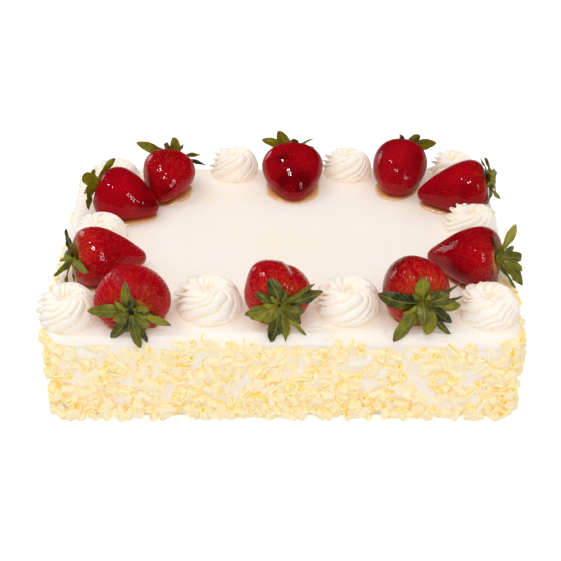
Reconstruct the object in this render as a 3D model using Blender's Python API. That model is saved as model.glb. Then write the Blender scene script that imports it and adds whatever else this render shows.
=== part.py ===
# Strawberry shortcake: a sheet cake in whipped cream, ringed by glazed berries and piped rosettes.
# Lengths are in millimetres and angles in degrees; MM turns the finished meshes into metres.
# The cake stands on z = 0 about the origin, its long side along X and its front towards -Y.
import math
import random

import bmesh
import bpy
import numpy as np
from mathutils import Matrix, Vector
from mathutils.bvhtree import BVHTree

MM = 0.001
GAP = 0.35                 # air left between two pieces that rest on each other

# Cream-covered block
CAKE_LENGTH = 330.0
CAKE_WIDTH = 229.0
CAKE_HEIGHT = 75.0
CORNER_RADIUS = 14.0
CORNER_TIGHTENING = 0.3    # loss of corner radius, of the inset
CORNER_STEPS = 5
LONG_SIDE_STEPS = 6
SHORT_SIDE_STEPS = 4
# The wall leans in towards the board and rolls over at the rim: height, inset.
WALL_PROFILE = ((0, 6.0), (10, 4.5), (36, 3.0), (60, 1.5), (69, 0.0), (73, 1.2), (75, 5.0))

# Curls of white chocolate pressed into the wall
CURL_ROWS = (8.5, 22.0, 35.5, 48.5, 60.5)      # heights of the rows
CURLS_PER_ROW = 33
CURL_LENGTH = (9.0, 12.0)
CURL_RADIUS = (2.3, 2.9)
CURL_THICKNESS = 1.15
CURL_OUTER = (-118, -42, 42, 118)              # angles of the rolled strip's outer corners
CURL_INNER = (55, -55)                         # and of its inner ones
CURL_FLARE = (0.8, 1.0)    # scale of the narrower end
CURL_TILT = (-75, 75)      # of a curl's axis from level, and of those in the lowest row and in the heaps
FOOT_TILT = (-25, 25)
HEAP_TILT = (-40, 40)
CURL_ROLL = (-55, 55)      # of its open side from straight out
CURL_SINK = 0.35           # share of the radius that is pressed into the cream
CURL_SHIFT = (5.0, 3.0)    # how far a curl strays along the wall and in height
CURL_SEED = 11
HEAP_CENTRES = (-31.0, 31.0)                   # curls heaped up to the rim at the front
HEAP_HEIGHT = 70.5
HEAP_CURLS = 3
HEAP_SPACING = 9.0
HEAP_DROP = 3.0            # by which every other curl of a heap lies lower
FINE_STEPS = (8, 24, 16)   # steps round a corner and along the sides where places are looked up
FRONT_SEARCH = 720         # places tried round the wall

# Piped rosettes: centre, then width, depth and height, and turn
ROSETTES = {
    "rosette_1": {"at": (-135.6, 90.1), "size": (39, 39, 16), "turn": 10},
    "rosette_2": {"at": (-39.5, 102.5), "size": (40, 33, 21.5), "turn": 0},
    "rosette_3": {"at": (52.0, 102.0), "size": (40.5, 33, 20.5), "turn": 8},
    "rosette_4": {"at": (137.6, 96.5), "size": (38, 36, 20.5), "turn": 5},
    "rosette_5": {"at": (-138.0, 6.5), "size": (40, 40, 17.5), "turn": 12},
    "rosette_6": {"at": (143.0, 21.5), "size": (41, 38, 17), "turn": 6},
    "rosette_7": {"at": (-148.5, -91.0), "size": (43, 41, 21.5), "turn": 4},
    "rosette_8": {"at": (-51.9, -81.7), "size": (46, 45, 22), "turn": 8},
    "rosette_9": {"at": (45.0, -81.7), "size": (46, 45, 21), "turn": 0},
    "rosette_10": {"at": (142.0, -87.0), "size": (44.5, 43, 18.5), "turn": 10},
}
ROSETTE_RIDGES = 9
ROSETTE_TWIST = 80.0       # turn of the ridges between foot and peak
ROSETTE_LEAN = (0.25, 0.02)                    # where the peak stands off the centre, of the width
LEAN_EASE = 1.6            # power by which the rings lean over as they rise
# Rings from the foot to just under the peak: share of height, share of radius, ridge depth
ROSETTE_RINGS = (
    (0.00, 0.90, 0.07), (0.14, 1.00, 0.08), (0.45, 0.94, 0.09),
    (0.74, 0.76, 0.11), (0.90, 0.46, 0.14),
)

CREAM_CLEARANCE = 1.8      # from a rosette's points to any berry
DRAW_STEP = 0.04           # share by which a point is drawn in at a time

# Berries: stem end and tip (x, y, height over the top of the cake), width and form.
# taper pulls the widest place towards the stem, blunt below 1 squares the ends.
# A swell is an angle round the berry, its spread, its place from stem to tip and its height.
BERRIES = {
    "berry_1": {"stem": (-144, 47, 20.5), "tip": (-96, 36, 7), "width": 45.5, "flat": 0.88,
                "taper": 0.44, "blunt": 0.85, "bend": 0.0, "cleft": 0.0, "swells": ()},
    "berry_2": {"stem": (-88, 93, 20), "tip": (-97, 47.5, 8), "width": 43, "flat": 0.86,
                "taper": 0.42, "blunt": 0.85, "bend": 0.0, "cleft": 0.0, "swells": ((170, 30, 0.6, -2.0),)},
    "berry_3": {"stem": (7, 102, 19), "tip": (9, 54.5, 6), "width": 48.5, "flat": 0.84,
                "taper": 0.40, "blunt": 0.72, "bend": 0.0, "cleft": 0.04, "swells": ()},
    "berry_4": {"stem": (98, 106, 21), "tip": (87, 59, 9), "width": 43.5, "flat": 0.92,
                "taper": 0.22, "blunt": 0.80, "bend": 0.0, "cleft": 0.0, "swells": ()},
    "berry_5": {"stem": (159, 52, 22), "tip": (105.5, 56, 7), "width": 45, "flat": 0.88,
                "taper": 0.52, "blunt": 0.72, "bend": -1.5, "cleft": 0.0, "swells": ()},
    "berry_6": {"stem": (153, -51, 21.5), "tip": (105, -30, 9), "width": 47.5, "flat": 0.90,
                "taper": 0.55, "blunt": 0.78, "bend": 0.0, "cleft": 0.0, "swells": ()},
    "berry_7": {"stem": (94, -106, 22), "tip": (84, -56, 14), "width": 46, "flat": 1.00,
                "taper": 0.30, "blunt": 0.80, "bend": 0.0, "cleft": 0.0, "swells": ()},
    "berry_8": {"stem": (-3, -106, 20), "tip": (-5, -58, 14), "width": 45, "flat": 0.95,
                "taper": 0.20, "blunt": 0.80, "bend": 0.0, "cleft": 0.09,
                "swells": ((56, 28, 0.5, 3.4), (128, 22, 0.5, -2.6))},
    "berry_9": {"stem": (-102, -112, 19), "tip": (-105, -62, 13), "width": 52, "flat": 0.86,
                "taper": 0.30, "blunt": 0.80, "bend": 0.0, "cleft": 0.05, "swells": ((80, 38, 0.5, 2.2),)},
    "berry_10": {"stem": (-149, -49, 21.5), "tip": (-100, -31, 8), "width": 45, "flat": 0.94,
                 "taper": 0.55, "blunt": 0.72, "bend": 0.0, "cleft": 0.0, "swells": ()},
}
SWELL_LENGTH = 0.28        # share of the berry's length that a swell spans
BERRY_RINGS = 7
BERRY_SIDES = 14
DIMPLE_DEPTH = 3.0         # hollow round the stem
DIMPLE_REACH = 0.42        # of the berry's radius

# Green caps: for each sepal its angle round the stem, its length and how far it lifts off the berry
CALYXES = {
    "calyx_1": ((46, 26, -8), (90, 17, 30), (126, 24, 26), (166, 22, 23), (210, 17, 15),
                (249, 20, 5), (300, 16, 15), (350, 18, 15)),
    "calyx_2": ((13, 25, 14), (45, 15, 25), (78, 20, 8), (118, 16, 25), (155, 29, 6),
                (215, 16, 25), (270, 15, 30), (345, 27, 4)),
    "calyx_3": ((5, 20, 20), (43, 20, 8), (83, 20, 7), (120, 25, 17), (150, 28, 12),
                (200, 18, 20), (255, 16, 30), (310, 16, 30)),
    "calyx_4": ((16, 25, 11), (60, 15, 20), (101, 16, 0), (151, 16, 5), (205, 15, 25),
                (265, 15, 30), (330, 22, 5)),
    "calyx_5": ((60, 20, 5), (98, 21, -2), (147, 21, 14), (180, 20, 26), (214, 22, 25),
                (244, 20, 12), (290, 16, 20), (330, 20, -3)),
    "calyx_6": ((83, 21, 1), (137, 26, 21), (186, 22, 20), (222, 24, 27), (256, 26, 28),
                (300, 18, 20), (350, 18, 10)),
    "calyx_7": ((13, 31, -4), (89, 22, 2), (155, 32, 6), (184, 28, 10), (220, 27, 16),
                (243, 26, 9), (280, 17, 25), (317, 32, 8)),
    "calyx_8": ((37, 20, 6), (79, 24, 1), (143, 29, -3), (165, 30, 3), (195, 20, 22),
                (230, 27, 12), (258, 25, 13), (282, 26, 14), (341, 24, 8)),
    "calyx_9": ((13, 28, 4), (80, 24, -1), (130, 15, 20), (173, 17, 14), (197, 27, 7),
                (246, 24, 13), (270, 26, 15), (307, 25, 12)),
    "calyx_10": ((38, 21, 12), (100, 16, 15), (175, 24, -8), (220, 20, 6), (252, 23, 13),
                 (288, 23, 22), (329, 21, 15)),
}
HUB_RADIUS = 5.0
HUB_RISE = 1.6             # hub over the bottom of the dimple
SEPAL_WIDTH = 0.36         # of the sepal's length
SEPAL_ARCH = 3.0           # how far a sepal bows off the shoulder
SEPAL_FOLD = 0.9           # height of its edges over its midrib
SEPAL_WAVE = 0.8           # how far an edge ripples up or down
SEPAL_STATIONS = ((0.30, 1.0), (0.66, 0.78))   # share of length, share of width
SEPAL_CROWDING = 0.79      # most of the room between two sepals that they fill
ROOT_SPREAD = 0.23         # half angle of a sepal's root, in radians
HUB_HALF = 0.7             # half thickness at the hub and at the tip
TIP_HALF = 0.4
SEPAL_CLEARANCE = 1.35     # from a sepal's middle surface to any neighbour
SEPAL_SEED = 5


# Unit vector along v
def unit(v):
    v = np.asarray(v, float)
    return v / np.linalg.norm(v)


# A Principled material; colour is linear RGB
def material(name, colour, roughness, coat=0.0):
    made = bpy.data.materials.new(name)
    made.use_nodes = True
    shader = made.node_tree.nodes["Principled BSDF"]
    shader.inputs["Base Color"].default_value = (*colour, 1.0)
    shader.inputs["Roughness"].default_value = roughness
    shader.inputs["Metallic"].default_value = 0.0
    shader.inputs["Coat Weight"].default_value = coat
    return made


# An object from points in millimetres and faces, in the scene
def mesh_object(name, points, faces, finish, smooth=True):
    mesh = bpy.data.meshes.new(name)
    mesh.from_pydata([tuple(MM * float(c) for c in p) for p in points], [], faces)
    mesh.materials.append(finish)
    if smooth:
        mesh.shade_smooth()
        mesh.set_sharp_from_angle(angle=math.radians(50))
    made = bpy.data.objects.new(name, mesh)
    bpy.context.scene.collection.objects.link(made)
    return made


# Triangles of a closed stack of rings of equal count, with a middle point at either end
def stack_faces(rings, sides, first_cap, last_cap):
    faces = []
    for j in range(rings - 1):
        for i in range(sides):
            a = j * sides + i
            b = j * sides + (i + 1) % sides
            faces += [(a, b, b + sides), (a, b + sides, a + sides)]
    top = (rings - 1) * sides
    for i in range(sides):
        n = (i + 1) % sides
        faces += [(first_cap, n, i), (last_cap, top + i, top + n)]
    return faces


# How far the wall stands in from the rim at height z
def wall_inset(z):
    heights, insets = zip(*WALL_PROFILE)
    return float(np.interp(z, heights, insets))


# Outline of the cake, inset by d: a rounded rectangle as (point, outward direction) pairs
def outline(d, corner_steps=CORNER_STEPS, long_steps=LONG_SIDE_STEPS, short_steps=SHORT_SIDE_STEPS):
    half = np.array([CAKE_LENGTH, CAKE_WIDTH]) / 2 - d
    radius = CORNER_RADIUS - min(d, CORNER_RADIUS / 2) * CORNER_TIGHTENING
    pairs = []
    for quarter in range(4):
        sign = ((1, 1), (-1, 1), (-1, -1), (1, -1))[quarter]
        centre = np.array(sign) * (half - radius)
        for k in range(corner_steps + 1):
            a = math.radians(90 * (quarter + k / corner_steps))
            out = np.array([math.cos(a), math.sin(a)])
            pairs.append((centre + radius * out, out))
        steps = long_steps if quarter % 2 == 0 else short_steps
        following = ((1, 1), (-1, 1), (-1, -1), (1, -1))[(quarter + 1) % 4]
        start = pairs[-1][0]
        end = np.array(following) * (half - radius) + radius * pairs[-1][1]
        for k in range(1, steps):
            pairs.append((start + (end - start) * k / steps, pairs[-1][1]))
    return pairs


# The cream-covered block: the outline at each height of the wall profile
def cake_block(finish):
    points = []
    for z, inset in WALL_PROFILE:
        ring = outline(inset)
        points += [(p[0], p[1], z) for p, _ in ring]
    sides = len(points) // len(WALL_PROFILE)
    first_cap = len(points)
    points += [(0, 0, 0), (0, 0, CAKE_HEIGHT)]
    faces = stack_faces(len(WALL_PROFILE), sides, first_cap, first_cap + 1)
    return mesh_object("cake", points, faces, finish)


# One curl: a strip rolled into an open trough, narrower at one end by the flare
def curl_points(length, radius, flare):
    rims = [(radius, math.radians(a)) for a in CURL_OUTER]
    rims += [(radius - CURL_THICKNESS, math.radians(a)) for a in CURL_INNER]
    section = [(r * math.cos(a), r * math.sin(a)) for r, a in rims]
    start = [(-length / 2, y, z) for y, z in section]
    end = [(length / 2, y * flare, z * flare) for y, z in section]
    return np.array(start + end)


# Triangles of a curl: its sides, then the four triangles that close either end
def curl_faces():
    sides = len(CURL_OUTER) + len(CURL_INNER)
    faces = []
    for i in range(sides):
        n = (i + 1) % sides
        faces += [(i, i + sides, n + sides), (i, n + sides, n)]
    for a, b, c in ((0, 1, 5), (1, 4, 5), (1, 2, 4), (2, 3, 4)):
        faces += [(a, b, c), (a + sides, c + sides, b + sides)]
    return faces


# A curl pressed into the wall: its open side turned out, its axis along the wall at some tilt
def wall_curl(name, around, z, tilt, dice, finish):
    length = dice.uniform(*CURL_LENGTH)
    radius = dice.uniform(*CURL_RADIUS)
    points = curl_points(length, radius, dice.uniform(*CURL_FLARE))
    place, out = around(z)
    along = np.array([-out[1], out[0], 0.0])
    out = np.array([out[0], out[1], 0.0])
    up = np.array([0.0, 0.0, 1.0])
    a = math.radians(tilt)
    axis = math.cos(a) * along + math.sin(a) * up
    cross = np.cross(out, axis)
    roll = math.radians(dice.uniform(*CURL_ROLL))
    opening = math.cos(roll) * out + math.sin(roll) * cross
    side = np.cross(opening, axis)
    centre = np.array([place[0], place[1], z]) + out * radius * (1 - CURL_SINK)
    world = [centre + p[0] * axis - p[1] * opening + p[2] * side for p in points]
    return mesh_object(name, world, curl_faces(), finish, smooth=False)


# The wall as one long strip: share of the way round the cake, to (point, outward direction) at height z
def wall_place(share):
    def at(z):
        pairs = outline(wall_inset(z), *FINE_STEPS)
        ends = [p for p, _ in pairs] + [pairs[0][0]]
        steps = [float(np.linalg.norm(ends[i + 1] - ends[i])) for i in range(len(pairs))]
        left = (share % 1.0) * sum(steps)
        for (point, out), following, step in zip(pairs, ends[1:], steps):
            if left <= step:
                return point + (following - point) * left / step, out
            left -= step
        return pairs[0]
    return at


# Share of the way round the cake at which the front wall passes x
def front_share(x):
    best = None
    for k in range(FRONT_SEARCH):
        point, out = wall_place(k / FRONT_SEARCH)(HEAP_HEIGHT)
        if out[1] < -0.99 and (best is None or abs(point[0] - x) < best[0]):
            best = (abs(point[0] - x), k / FRONT_SEARCH)
    return best[1]


# Curls in staggered rows all round, and the two heaps at the front rim
def make_curls(finish):
    dice = random.Random(CURL_SEED)
    curls = []
    for row, height in enumerate(CURL_ROWS):
        for k in range(CURLS_PER_ROW):
            share = (k + 0.5 * (row % 2)) / CURLS_PER_ROW
            share += dice.uniform(-1, 1) * CURL_SHIFT[0] / (2 * (CAKE_LENGTH + CAKE_WIDTH))
            z = height + (dice.uniform(-1, 1) * CURL_SHIFT[1] if row else 0.0)
            tilt = dice.uniform(*(CURL_TILT if row else FOOT_TILT))
            curls.append(wall_curl(f"curl_{row}_{k}", wall_place(share), z, tilt, dice, finish))
    for centre in HEAP_CENTRES:
        for k in range(HEAP_CURLS):
            share = front_share(centre + (k - 1) * HEAP_SPACING)
            height = HEAP_HEIGHT - HEAP_DROP * (k % 2)
            tilt = dice.uniform(*HEAP_TILT)
            curls.append(wall_curl(f"heap_{centre:.0f}_{k}", wall_place(share), height, tilt, dice, finish))
    return curls


# Join the curls to the cake with one Boolean union, and drop their objects
def fuse(body, pieces):
    group = bpy.data.collections.new("curls")
    bpy.context.scene.collection.children.link(group)
    for piece in pieces:
        group.objects.link(piece)
        bpy.context.scene.collection.objects.unlink(piece)
    union = body.modifiers.new("union", "BOOLEAN")
    union.operation = "UNION"
    union.operand_type = "COLLECTION"
    union.collection = group
    union.solver = "EXACT"
    bpy.context.view_layer.update()
    evaluated = body.evaluated_get(bpy.context.evaluated_depsgraph_get())
    fused = bpy.data.meshes.new_from_object(evaluated)
    body.modifiers.clear()
    body.data = fused
    for piece in pieces:
        bpy.data.objects.remove(piece)
    bpy.data.collections.remove(group)


# The berry's own frame: origin at the stem end, X sideways, Y up and Z towards the tip
def berry_frame(berry):
    stem = np.array(berry["stem"], float) + (0, 0, CAKE_HEIGHT)
    tip = np.array(berry["tip"], float) + (0, 0, CAKE_HEIGHT)
    length = float(np.linalg.norm(tip - stem))
    along = unit(tip - stem)
    side = unit(np.cross((0, 0, 1), along))
    up = np.cross(along, side)
    turn = Matrix((side, up, along)).transposed()
    return Matrix.Translation(Vector(stem) * MM) @ turn.to_4x4(), length


# Berry surface: a turned profile sin^blunt * (1 + taper cos), dimpled at the stem, squashed, bent and cleft
def berry_points(berry, length):
    fine = np.linspace(0, math.pi, 400)
    widest = (np.sin(fine) ** berry["blunt"] * (1 + berry["taper"] * np.cos(fine))).max()
    points = []
    for j in range(1, BERRY_RINGS):
        phi = math.pi * j / BERRY_RINGS
        share = math.sin(phi) ** berry["blunt"] * (1 + berry["taper"] * math.cos(phi)) / widest
        z = length * (1 - math.cos(phi)) / 2
        if phi < math.pi / 2:
            z += DIMPLE_DEPTH * math.exp(-(share / DIMPLE_REACH) ** 2)
        lobe = berry["cleft"] * (1 - math.cos(phi)) / 2
        s = z / length
        for i in range(BERRY_SIDES):
            a = 2 * math.pi * i / BERRY_SIDES
            radius = berry["width"] / 2 * share * (1 + lobe * math.cos(2 * a))
            for turn, spread, place, height in berry["swells"]:
                off = ((math.degrees(a) - turn + 180) % 360 - 180) / spread
                way = (phi / math.pi - place) / SWELL_LENGTH
                radius += height * math.exp(-off ** 2 - way ** 2)
            points.append((radius * math.cos(a),
                           radius * berry["flat"] * math.sin(a) + berry["bend"] * 4 * s * (1 - s), z))
    return points + [(0, 0, DIMPLE_DEPTH), (0, 0, length)]


# A berry lying on the cream, its underside cut flat where it rests
def make_berry(name, finish):
    frame, length = berry_frame(BERRIES[name])
    rings = BERRY_RINGS - 1
    cap = rings * BERRY_SIDES
    faces = stack_faces(rings, BERRY_SIDES, cap, cap + 1)
    made = mesh_object(name, berry_points(BERRIES[name], length), faces, finish)
    made.matrix_world = frame
    rest_point = frame.inverted() @ Vector((0, 0, (CAKE_HEIGHT + GAP) * MM))
    rest_normal = frame.to_3x3().inverted() @ Vector((0, 0, 1))
    shape = bmesh.new()
    shape.from_mesh(made.data)
    cut = bmesh.ops.bisect_plane(shape, geom=shape.verts[:] + shape.edges[:] + shape.faces[:], dist=1e-6,
                                 plane_co=rest_point, plane_no=rest_normal, clear_inner=True)
    rim = [e for e in cut["geom_cut"] if isinstance(e, bmesh.types.BMEdge)]
    bmesh.ops.contextual_create(shape, geom=rim)
    bmesh.ops.recalc_face_normals(shape, faces=shape.faces)
    shape.to_mesh(made.data)
    shape.free()
    return made


# The finished surface of a piece in world millimetres, for measuring distances
def surface(piece):
    bpy.context.view_layer.update()
    place = piece.matrix_world
    points = [(place @ v.co) / MM for v in piece.data.vertices]
    return BVHTree.FromPolygons(points, [tuple(f.vertices) for f in piece.data.polygons])


# Whether a point is inside a closed surface: a slanting ray leaves it an odd number of times
def inside(point, tree):
    ray = Vector((0.31, 0.17, 0.93)).normalized()
    crossings = 0
    hit, _, _, _ = tree.ray_cast(point, ray)
    while hit is not None:
        crossings += 1
        hit, _, _, _ = tree.ray_cast(hit + ray * 0.001, ray)
    return crossings % 2 == 1


# Whether a point is inside a surface or nearer to it than the clearance
def too_near(point, tree, clearance):
    return tree.find_nearest(point)[3] < clearance or inside(point, tree)


# A rosette: a ridged dome whose ridges turn as they rise to an off-centre peak
def make_rosette(name, finish, neighbours):
    spec = ROSETTES[name]
    width, depth, height = spec["size"]
    foot = CAKE_HEIGHT + GAP
    lean = Matrix.Rotation(math.radians(spec["turn"]), 2) @ Vector(ROSETTE_LEAN) * width
    sides = 2 * ROSETTE_RIDGES
    points = []
    for rise, share, furrow in ROSETTE_RINGS:
        middle = Vector(spec["at"]) + lean * rise ** LEAN_EASE
        for i in range(sides):
            a = math.radians(spec["turn"] + ROSETTE_TWIST * rise) + 2 * math.pi * i / sides
            reach = share * (1 + furrow * (1 if i % 2 else -1)) / 2
            point = Vector((middle.x + width * reach * math.cos(a), middle.y + depth * reach * math.sin(a),
                            foot + height * rise))
            points.append(kept_clear(point, Vector((middle.x, middle.y, point.z)), neighbours))
    peak = Vector(spec["at"]) + lean
    points += [(*spec["at"], foot), (peak.x, peak.y, foot + height)]
    cap = len(ROSETTE_RINGS) * sides
    return mesh_object(name, points, stack_faces(len(ROSETTE_RINGS), sides, cap, cap + 1), finish)


# Draw a point in towards a middle until it clears its neighbours
def kept_clear(point, middle, neighbours):
    share = 1.0
    drawn = point
    while share > DRAW_STEP and any(too_near(drawn, tree, CREAM_CLEARANCE) for tree in neighbours):
        share -= DRAW_STEP
        drawn = middle.lerp(point, share)
    return drawn


# Push a point out of its neighbours, along their nearest faces
def pushed_out(point, neighbours, clearance):
    for _ in range(4):
        for tree in neighbours:
            near, normal, _, distance = tree.find_nearest(point)
            if inside(point, tree):
                point = near + normal * clearance
            elif distance < clearance:
                point = near + (point - near).normalized() * clearance
    return point


# Middle surface of a cap: a hub with one three-point-wide sepal for each entry, in the berry's frame
def cap_sheet(sepals, dice):
    points = [(0.0, 0.0, DIMPLE_DEPTH - HUB_RISE)]
    halves = [HUB_HALF]
    faces = []
    base = []
    for angle, length, lift in sorted(sepals):
        a = math.radians(angle)
        out = np.array([math.cos(a), math.sin(a), 0.0])
        across = np.array([-math.sin(a), math.cos(a), 0.0])
        rise = math.radians(lift)
        root = out * HUB_RADIUS + (0, 0, DIMPLE_DEPTH - HUB_RISE)
        tip = out * length * math.cos(rise) + (0, 0, DIMPLE_DEPTH - HUB_RISE - length * math.sin(rise))
        bow = (root + tip) / 2 + (0, 0, -SEPAL_ARCH)
        spread = math.radians(nearest_turn(angle, sepals) / 2)
        half_angle = min(ROOT_SPREAD, spread * SEPAL_CROWDING)
        first = len(points)
        for turn in (-half_angle, 0.0, half_angle):
            points.append((HUB_RADIUS * math.cos(a + turn), HUB_RADIUS * math.sin(a + turn), root[2]))
            halves.append(HUB_HALF)
        for share, broad in SEPAL_STATIONS:
            middle = (1 - share) ** 2 * root + 2 * share * (1 - share) * bow + share ** 2 * tip
            ripple = dice.uniform(-SEPAL_WAVE, SEPAL_WAVE)
            room = math.hypot(middle[0], middle[1]) * math.tan(spread) * SEPAL_CROWDING
            half_width = min(SEPAL_WIDTH * length * broad / 2, room)
            for edge in (-1, 0, 1):
                shift = np.array([0, 0, -abs(edge) * SEPAL_FOLD + edge * ripple])
                points.append(tuple(middle + edge * across * half_width + shift))
                halves.append(HUB_HALF + (TIP_HALF - HUB_HALF) * share)
        points.append(tuple(tip))
        halves.append(TIP_HALF)
        for row in range(len(SEPAL_STATIONS)):
            p = first + 3 * row
            faces += [(p, p + 3, p + 4), (p, p + 4, p + 1), (p + 1, p + 4, p + 2), (p + 2, p + 4, p + 5)]
        p = first + 3 * len(SEPAL_STATIONS)
        faces += [(p, p + 3, p + 1), (p + 1, p + 3, p + 2)]
        base.append(first)
    for here, following in zip(base, base[1:] + base[:1]):
        faces += [(0, here, here + 1), (0, here + 1, here + 2), (0, here + 2, following)]
    return points, halves, faces


# Angle from one sepal to its nearest neighbour
def nearest_turn(angle, sepals):
    turns = [abs((angle - other + 180) % 360 - 180) for other, _, _ in sepals if other != angle]
    return min(turns)


# A sheet made solid: each face doubled, with both sides split alike, and walls along the free edges
def thick_solid(points, halves, faces):
    points = np.array(points, float)
    normals = np.zeros_like(points)
    for a, b, c in faces:
        normal = np.cross(points[b] - points[a], points[c] - points[a])
        for corner in (a, b, c):
            normals[corner] += normal
    normals /= np.linalg.norm(normals, axis=1)[:, None]
    offset = normals * np.array(halves)[:, None]
    count = len(points)
    solid = list(points + offset) + list(points - offset)
    closed = [tuple(f) for f in faces] + [(a + count, c + count, b + count) for a, b, c in faces]
    used = {}
    for a, b, c in faces:
        for edge in ((a, b), (b, c), (c, a)):
            used[edge] = used.get(edge, 0) + 1
    for a, b in used:
        if (b, a) not in used:
            closed += [(b, a, a + count), (b, a + count, b + count)]
    return solid, closed


# A green cap on its berry, parented to it, with its sepals clear of everything near
def make_calyx(name, berry, finish, neighbours):
    dice = random.Random(SEPAL_SEED)
    points, halves, faces = cap_sheet(CALYXES[name], dice)
    place = berry.matrix_world
    back = place.inverted()
    clear = []
    for point in points:
        world = (place @ (Vector(point) * MM)) / MM
        world = pushed_out(world, neighbours, SEPAL_CLEARANCE)
        clear.append((back @ (world * MM)) / MM)
    solid, closed = thick_solid(clear, halves, faces)
    made = mesh_object(name, solid, closed, finish)
    made.parent = berry
    return made


def main():
    for old in list(bpy.data.objects):
        bpy.data.objects.remove(old)
    cream = material("cream", (0.92, 0.85, 0.74), 0.55)
    icing = material("icing", (0.90, 0.80, 0.62), 0.5)
    berry_red = material("berry", (0.38, 0.01, 0.012), 0.2, coat=0.8)
    leaf_green = material("leaf", (0.10, 0.15, 0.025), 0.55)

    cake = cake_block(icing)
    plain_cake = surface(cake)
    fuse(cake, make_curls(icing))
    cake.data.set_sharp_from_angle(angle=math.radians(35))

    berries = {name: make_berry(name, berry_red) for name in BERRIES}
    berry_surfaces = [surface(piece) for piece in berries.values()]
    rosettes = {name: make_rosette(name, cream, berry_surfaces) for name in ROSETTES}
    rosette_surfaces = [surface(piece) for piece in rosettes.values()]
    neighbours = [plain_cake, *berry_surfaces, *rosette_surfaces]
    for name, berry in zip(CALYXES, berries.values()):
        make_calyx(name, berry, leaf_green, neighbours)


main()
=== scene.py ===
# Strawberry shortcake dressed for its picture: spread cream, chocolate curls, piped rosettes, glazed berries.
# Shapes are worked out in millimetres with numpy and put into their meshes in metres.
import math

import bmesh
import bpy
import numpy as np
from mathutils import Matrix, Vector


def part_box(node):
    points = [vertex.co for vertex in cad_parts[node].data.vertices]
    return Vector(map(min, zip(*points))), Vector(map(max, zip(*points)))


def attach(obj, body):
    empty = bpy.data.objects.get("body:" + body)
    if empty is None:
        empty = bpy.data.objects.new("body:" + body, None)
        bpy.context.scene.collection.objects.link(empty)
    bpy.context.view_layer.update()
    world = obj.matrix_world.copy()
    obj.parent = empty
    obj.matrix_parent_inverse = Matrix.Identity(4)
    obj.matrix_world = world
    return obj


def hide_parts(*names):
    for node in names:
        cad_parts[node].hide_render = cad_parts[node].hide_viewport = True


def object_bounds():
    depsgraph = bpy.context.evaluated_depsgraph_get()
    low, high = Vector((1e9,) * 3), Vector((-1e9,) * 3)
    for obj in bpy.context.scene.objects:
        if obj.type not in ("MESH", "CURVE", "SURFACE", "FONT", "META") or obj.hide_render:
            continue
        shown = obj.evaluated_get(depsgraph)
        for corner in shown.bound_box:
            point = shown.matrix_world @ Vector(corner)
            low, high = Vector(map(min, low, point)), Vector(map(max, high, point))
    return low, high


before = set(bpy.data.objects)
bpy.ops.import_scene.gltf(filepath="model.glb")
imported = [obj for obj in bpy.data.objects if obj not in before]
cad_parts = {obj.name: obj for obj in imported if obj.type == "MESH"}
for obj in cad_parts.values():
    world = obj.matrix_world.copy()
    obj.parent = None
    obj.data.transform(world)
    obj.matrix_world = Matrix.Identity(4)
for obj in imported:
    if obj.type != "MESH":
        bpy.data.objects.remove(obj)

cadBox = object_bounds()
print("frame loaded")

mm = 0.001
tau = 2 * math.pi


# Shader sockets that do sums

class Wire:
    # One socket of a node tree. An expression on wires adds Math nodes to the tree.
    def __init__(self, tree, socket=None):
        self.tree = tree
        self.socket = socket

    # A node of any type: its settings first, then the values or wires of its inputs
    def make(self, kind, settings=None, inputs=None, output=0):
        node = self.tree.nodes.new(kind)
        for key, value in (settings or {}).items():
            setattr(node, key, value)
        for key, value in (inputs or {}).items():
            if isinstance(value, Wire):
                self.tree.links.new(value.socket, node.inputs[key])
            else:
                node.inputs[key].default_value = value
        return Wire(self.tree, node.outputs[output])

    # A Math node: one operation on two wires or numbers
    def math(self, operation, first, second=0.0):
        return self.make("ShaderNodeMath", {"operation": operation}, {0: first, 1: second})

    def __add__(self, other):
        return self.math("ADD", self, other)

    def __radd__(self, other):
        return self.math("ADD", other, self)

    def __sub__(self, other):
        return self.math("SUBTRACT", self, other)

    def __rsub__(self, other):
        return self.math("SUBTRACT", other, self)

    def __mul__(self, other):
        return self.math("MULTIPLY", self, other)

    def __rmul__(self, other):
        return self.math("MULTIPLY", other, self)

    # Held between 0 and 1
    def held(self):
        return self.make("ShaderNodeClamp", {}, {"Value": self})

    # Eased from 0 to 1 as this wire climbs from low to high
    def step(self, low, high):
        return self.make("ShaderNodeMapRange", {"interpolation_type": "SMOOTHSTEP"},
                         {"Value": self, "From Min": low, "From Max": high})

    # Colour between two others by this wire
    def blend(self, first, second):
        return self.make("ShaderNodeMix", {"data_type": "RGBA"}, {"Factor": self, 6: first, 7: second}, 2)

    # Noise from 0 to 1 over the piece's own coordinates, with lumps of a size in millimetres
    def noise(self, size, detail=2.0, rough=0.5):
        spot = self.make("ShaderNodeTexCoord", output="Object")
        return self.make("ShaderNodeTexNoise", {},
                         {"Vector": spot, "Scale": 1 / (size * mm), "Detail": detail, "Roughness": rough})

    # This wire plus noise about nought, held between 0 and 1
    def mottled(self, size, amount):
        return (self + self.noise(size) * amount - amount / 2).held()

    # Normals tilted as if this wire were a height, from 0 to a depth in millimetres
    def bump(self, strength, depth):
        return self.make("ShaderNodeBump", {}, {"Strength": strength, "Distance": depth * mm, "Height": self})

    # Value of a point field of the mesh
    def field(self, name):
        return self.make("ShaderNodeAttribute", {"attribute_name": name}, output="Fac")


# sRGB numbers of 0 to 255 as a linear colour
def shade(red, green, blue):
    part = np.array([red, green, blue]) / 255
    linear = np.where(part > 0.04045, ((part + 0.055) / 1.055) ** 2.4, part / 12.92)
    return (*linear.tolist(), 1.0)


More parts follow.
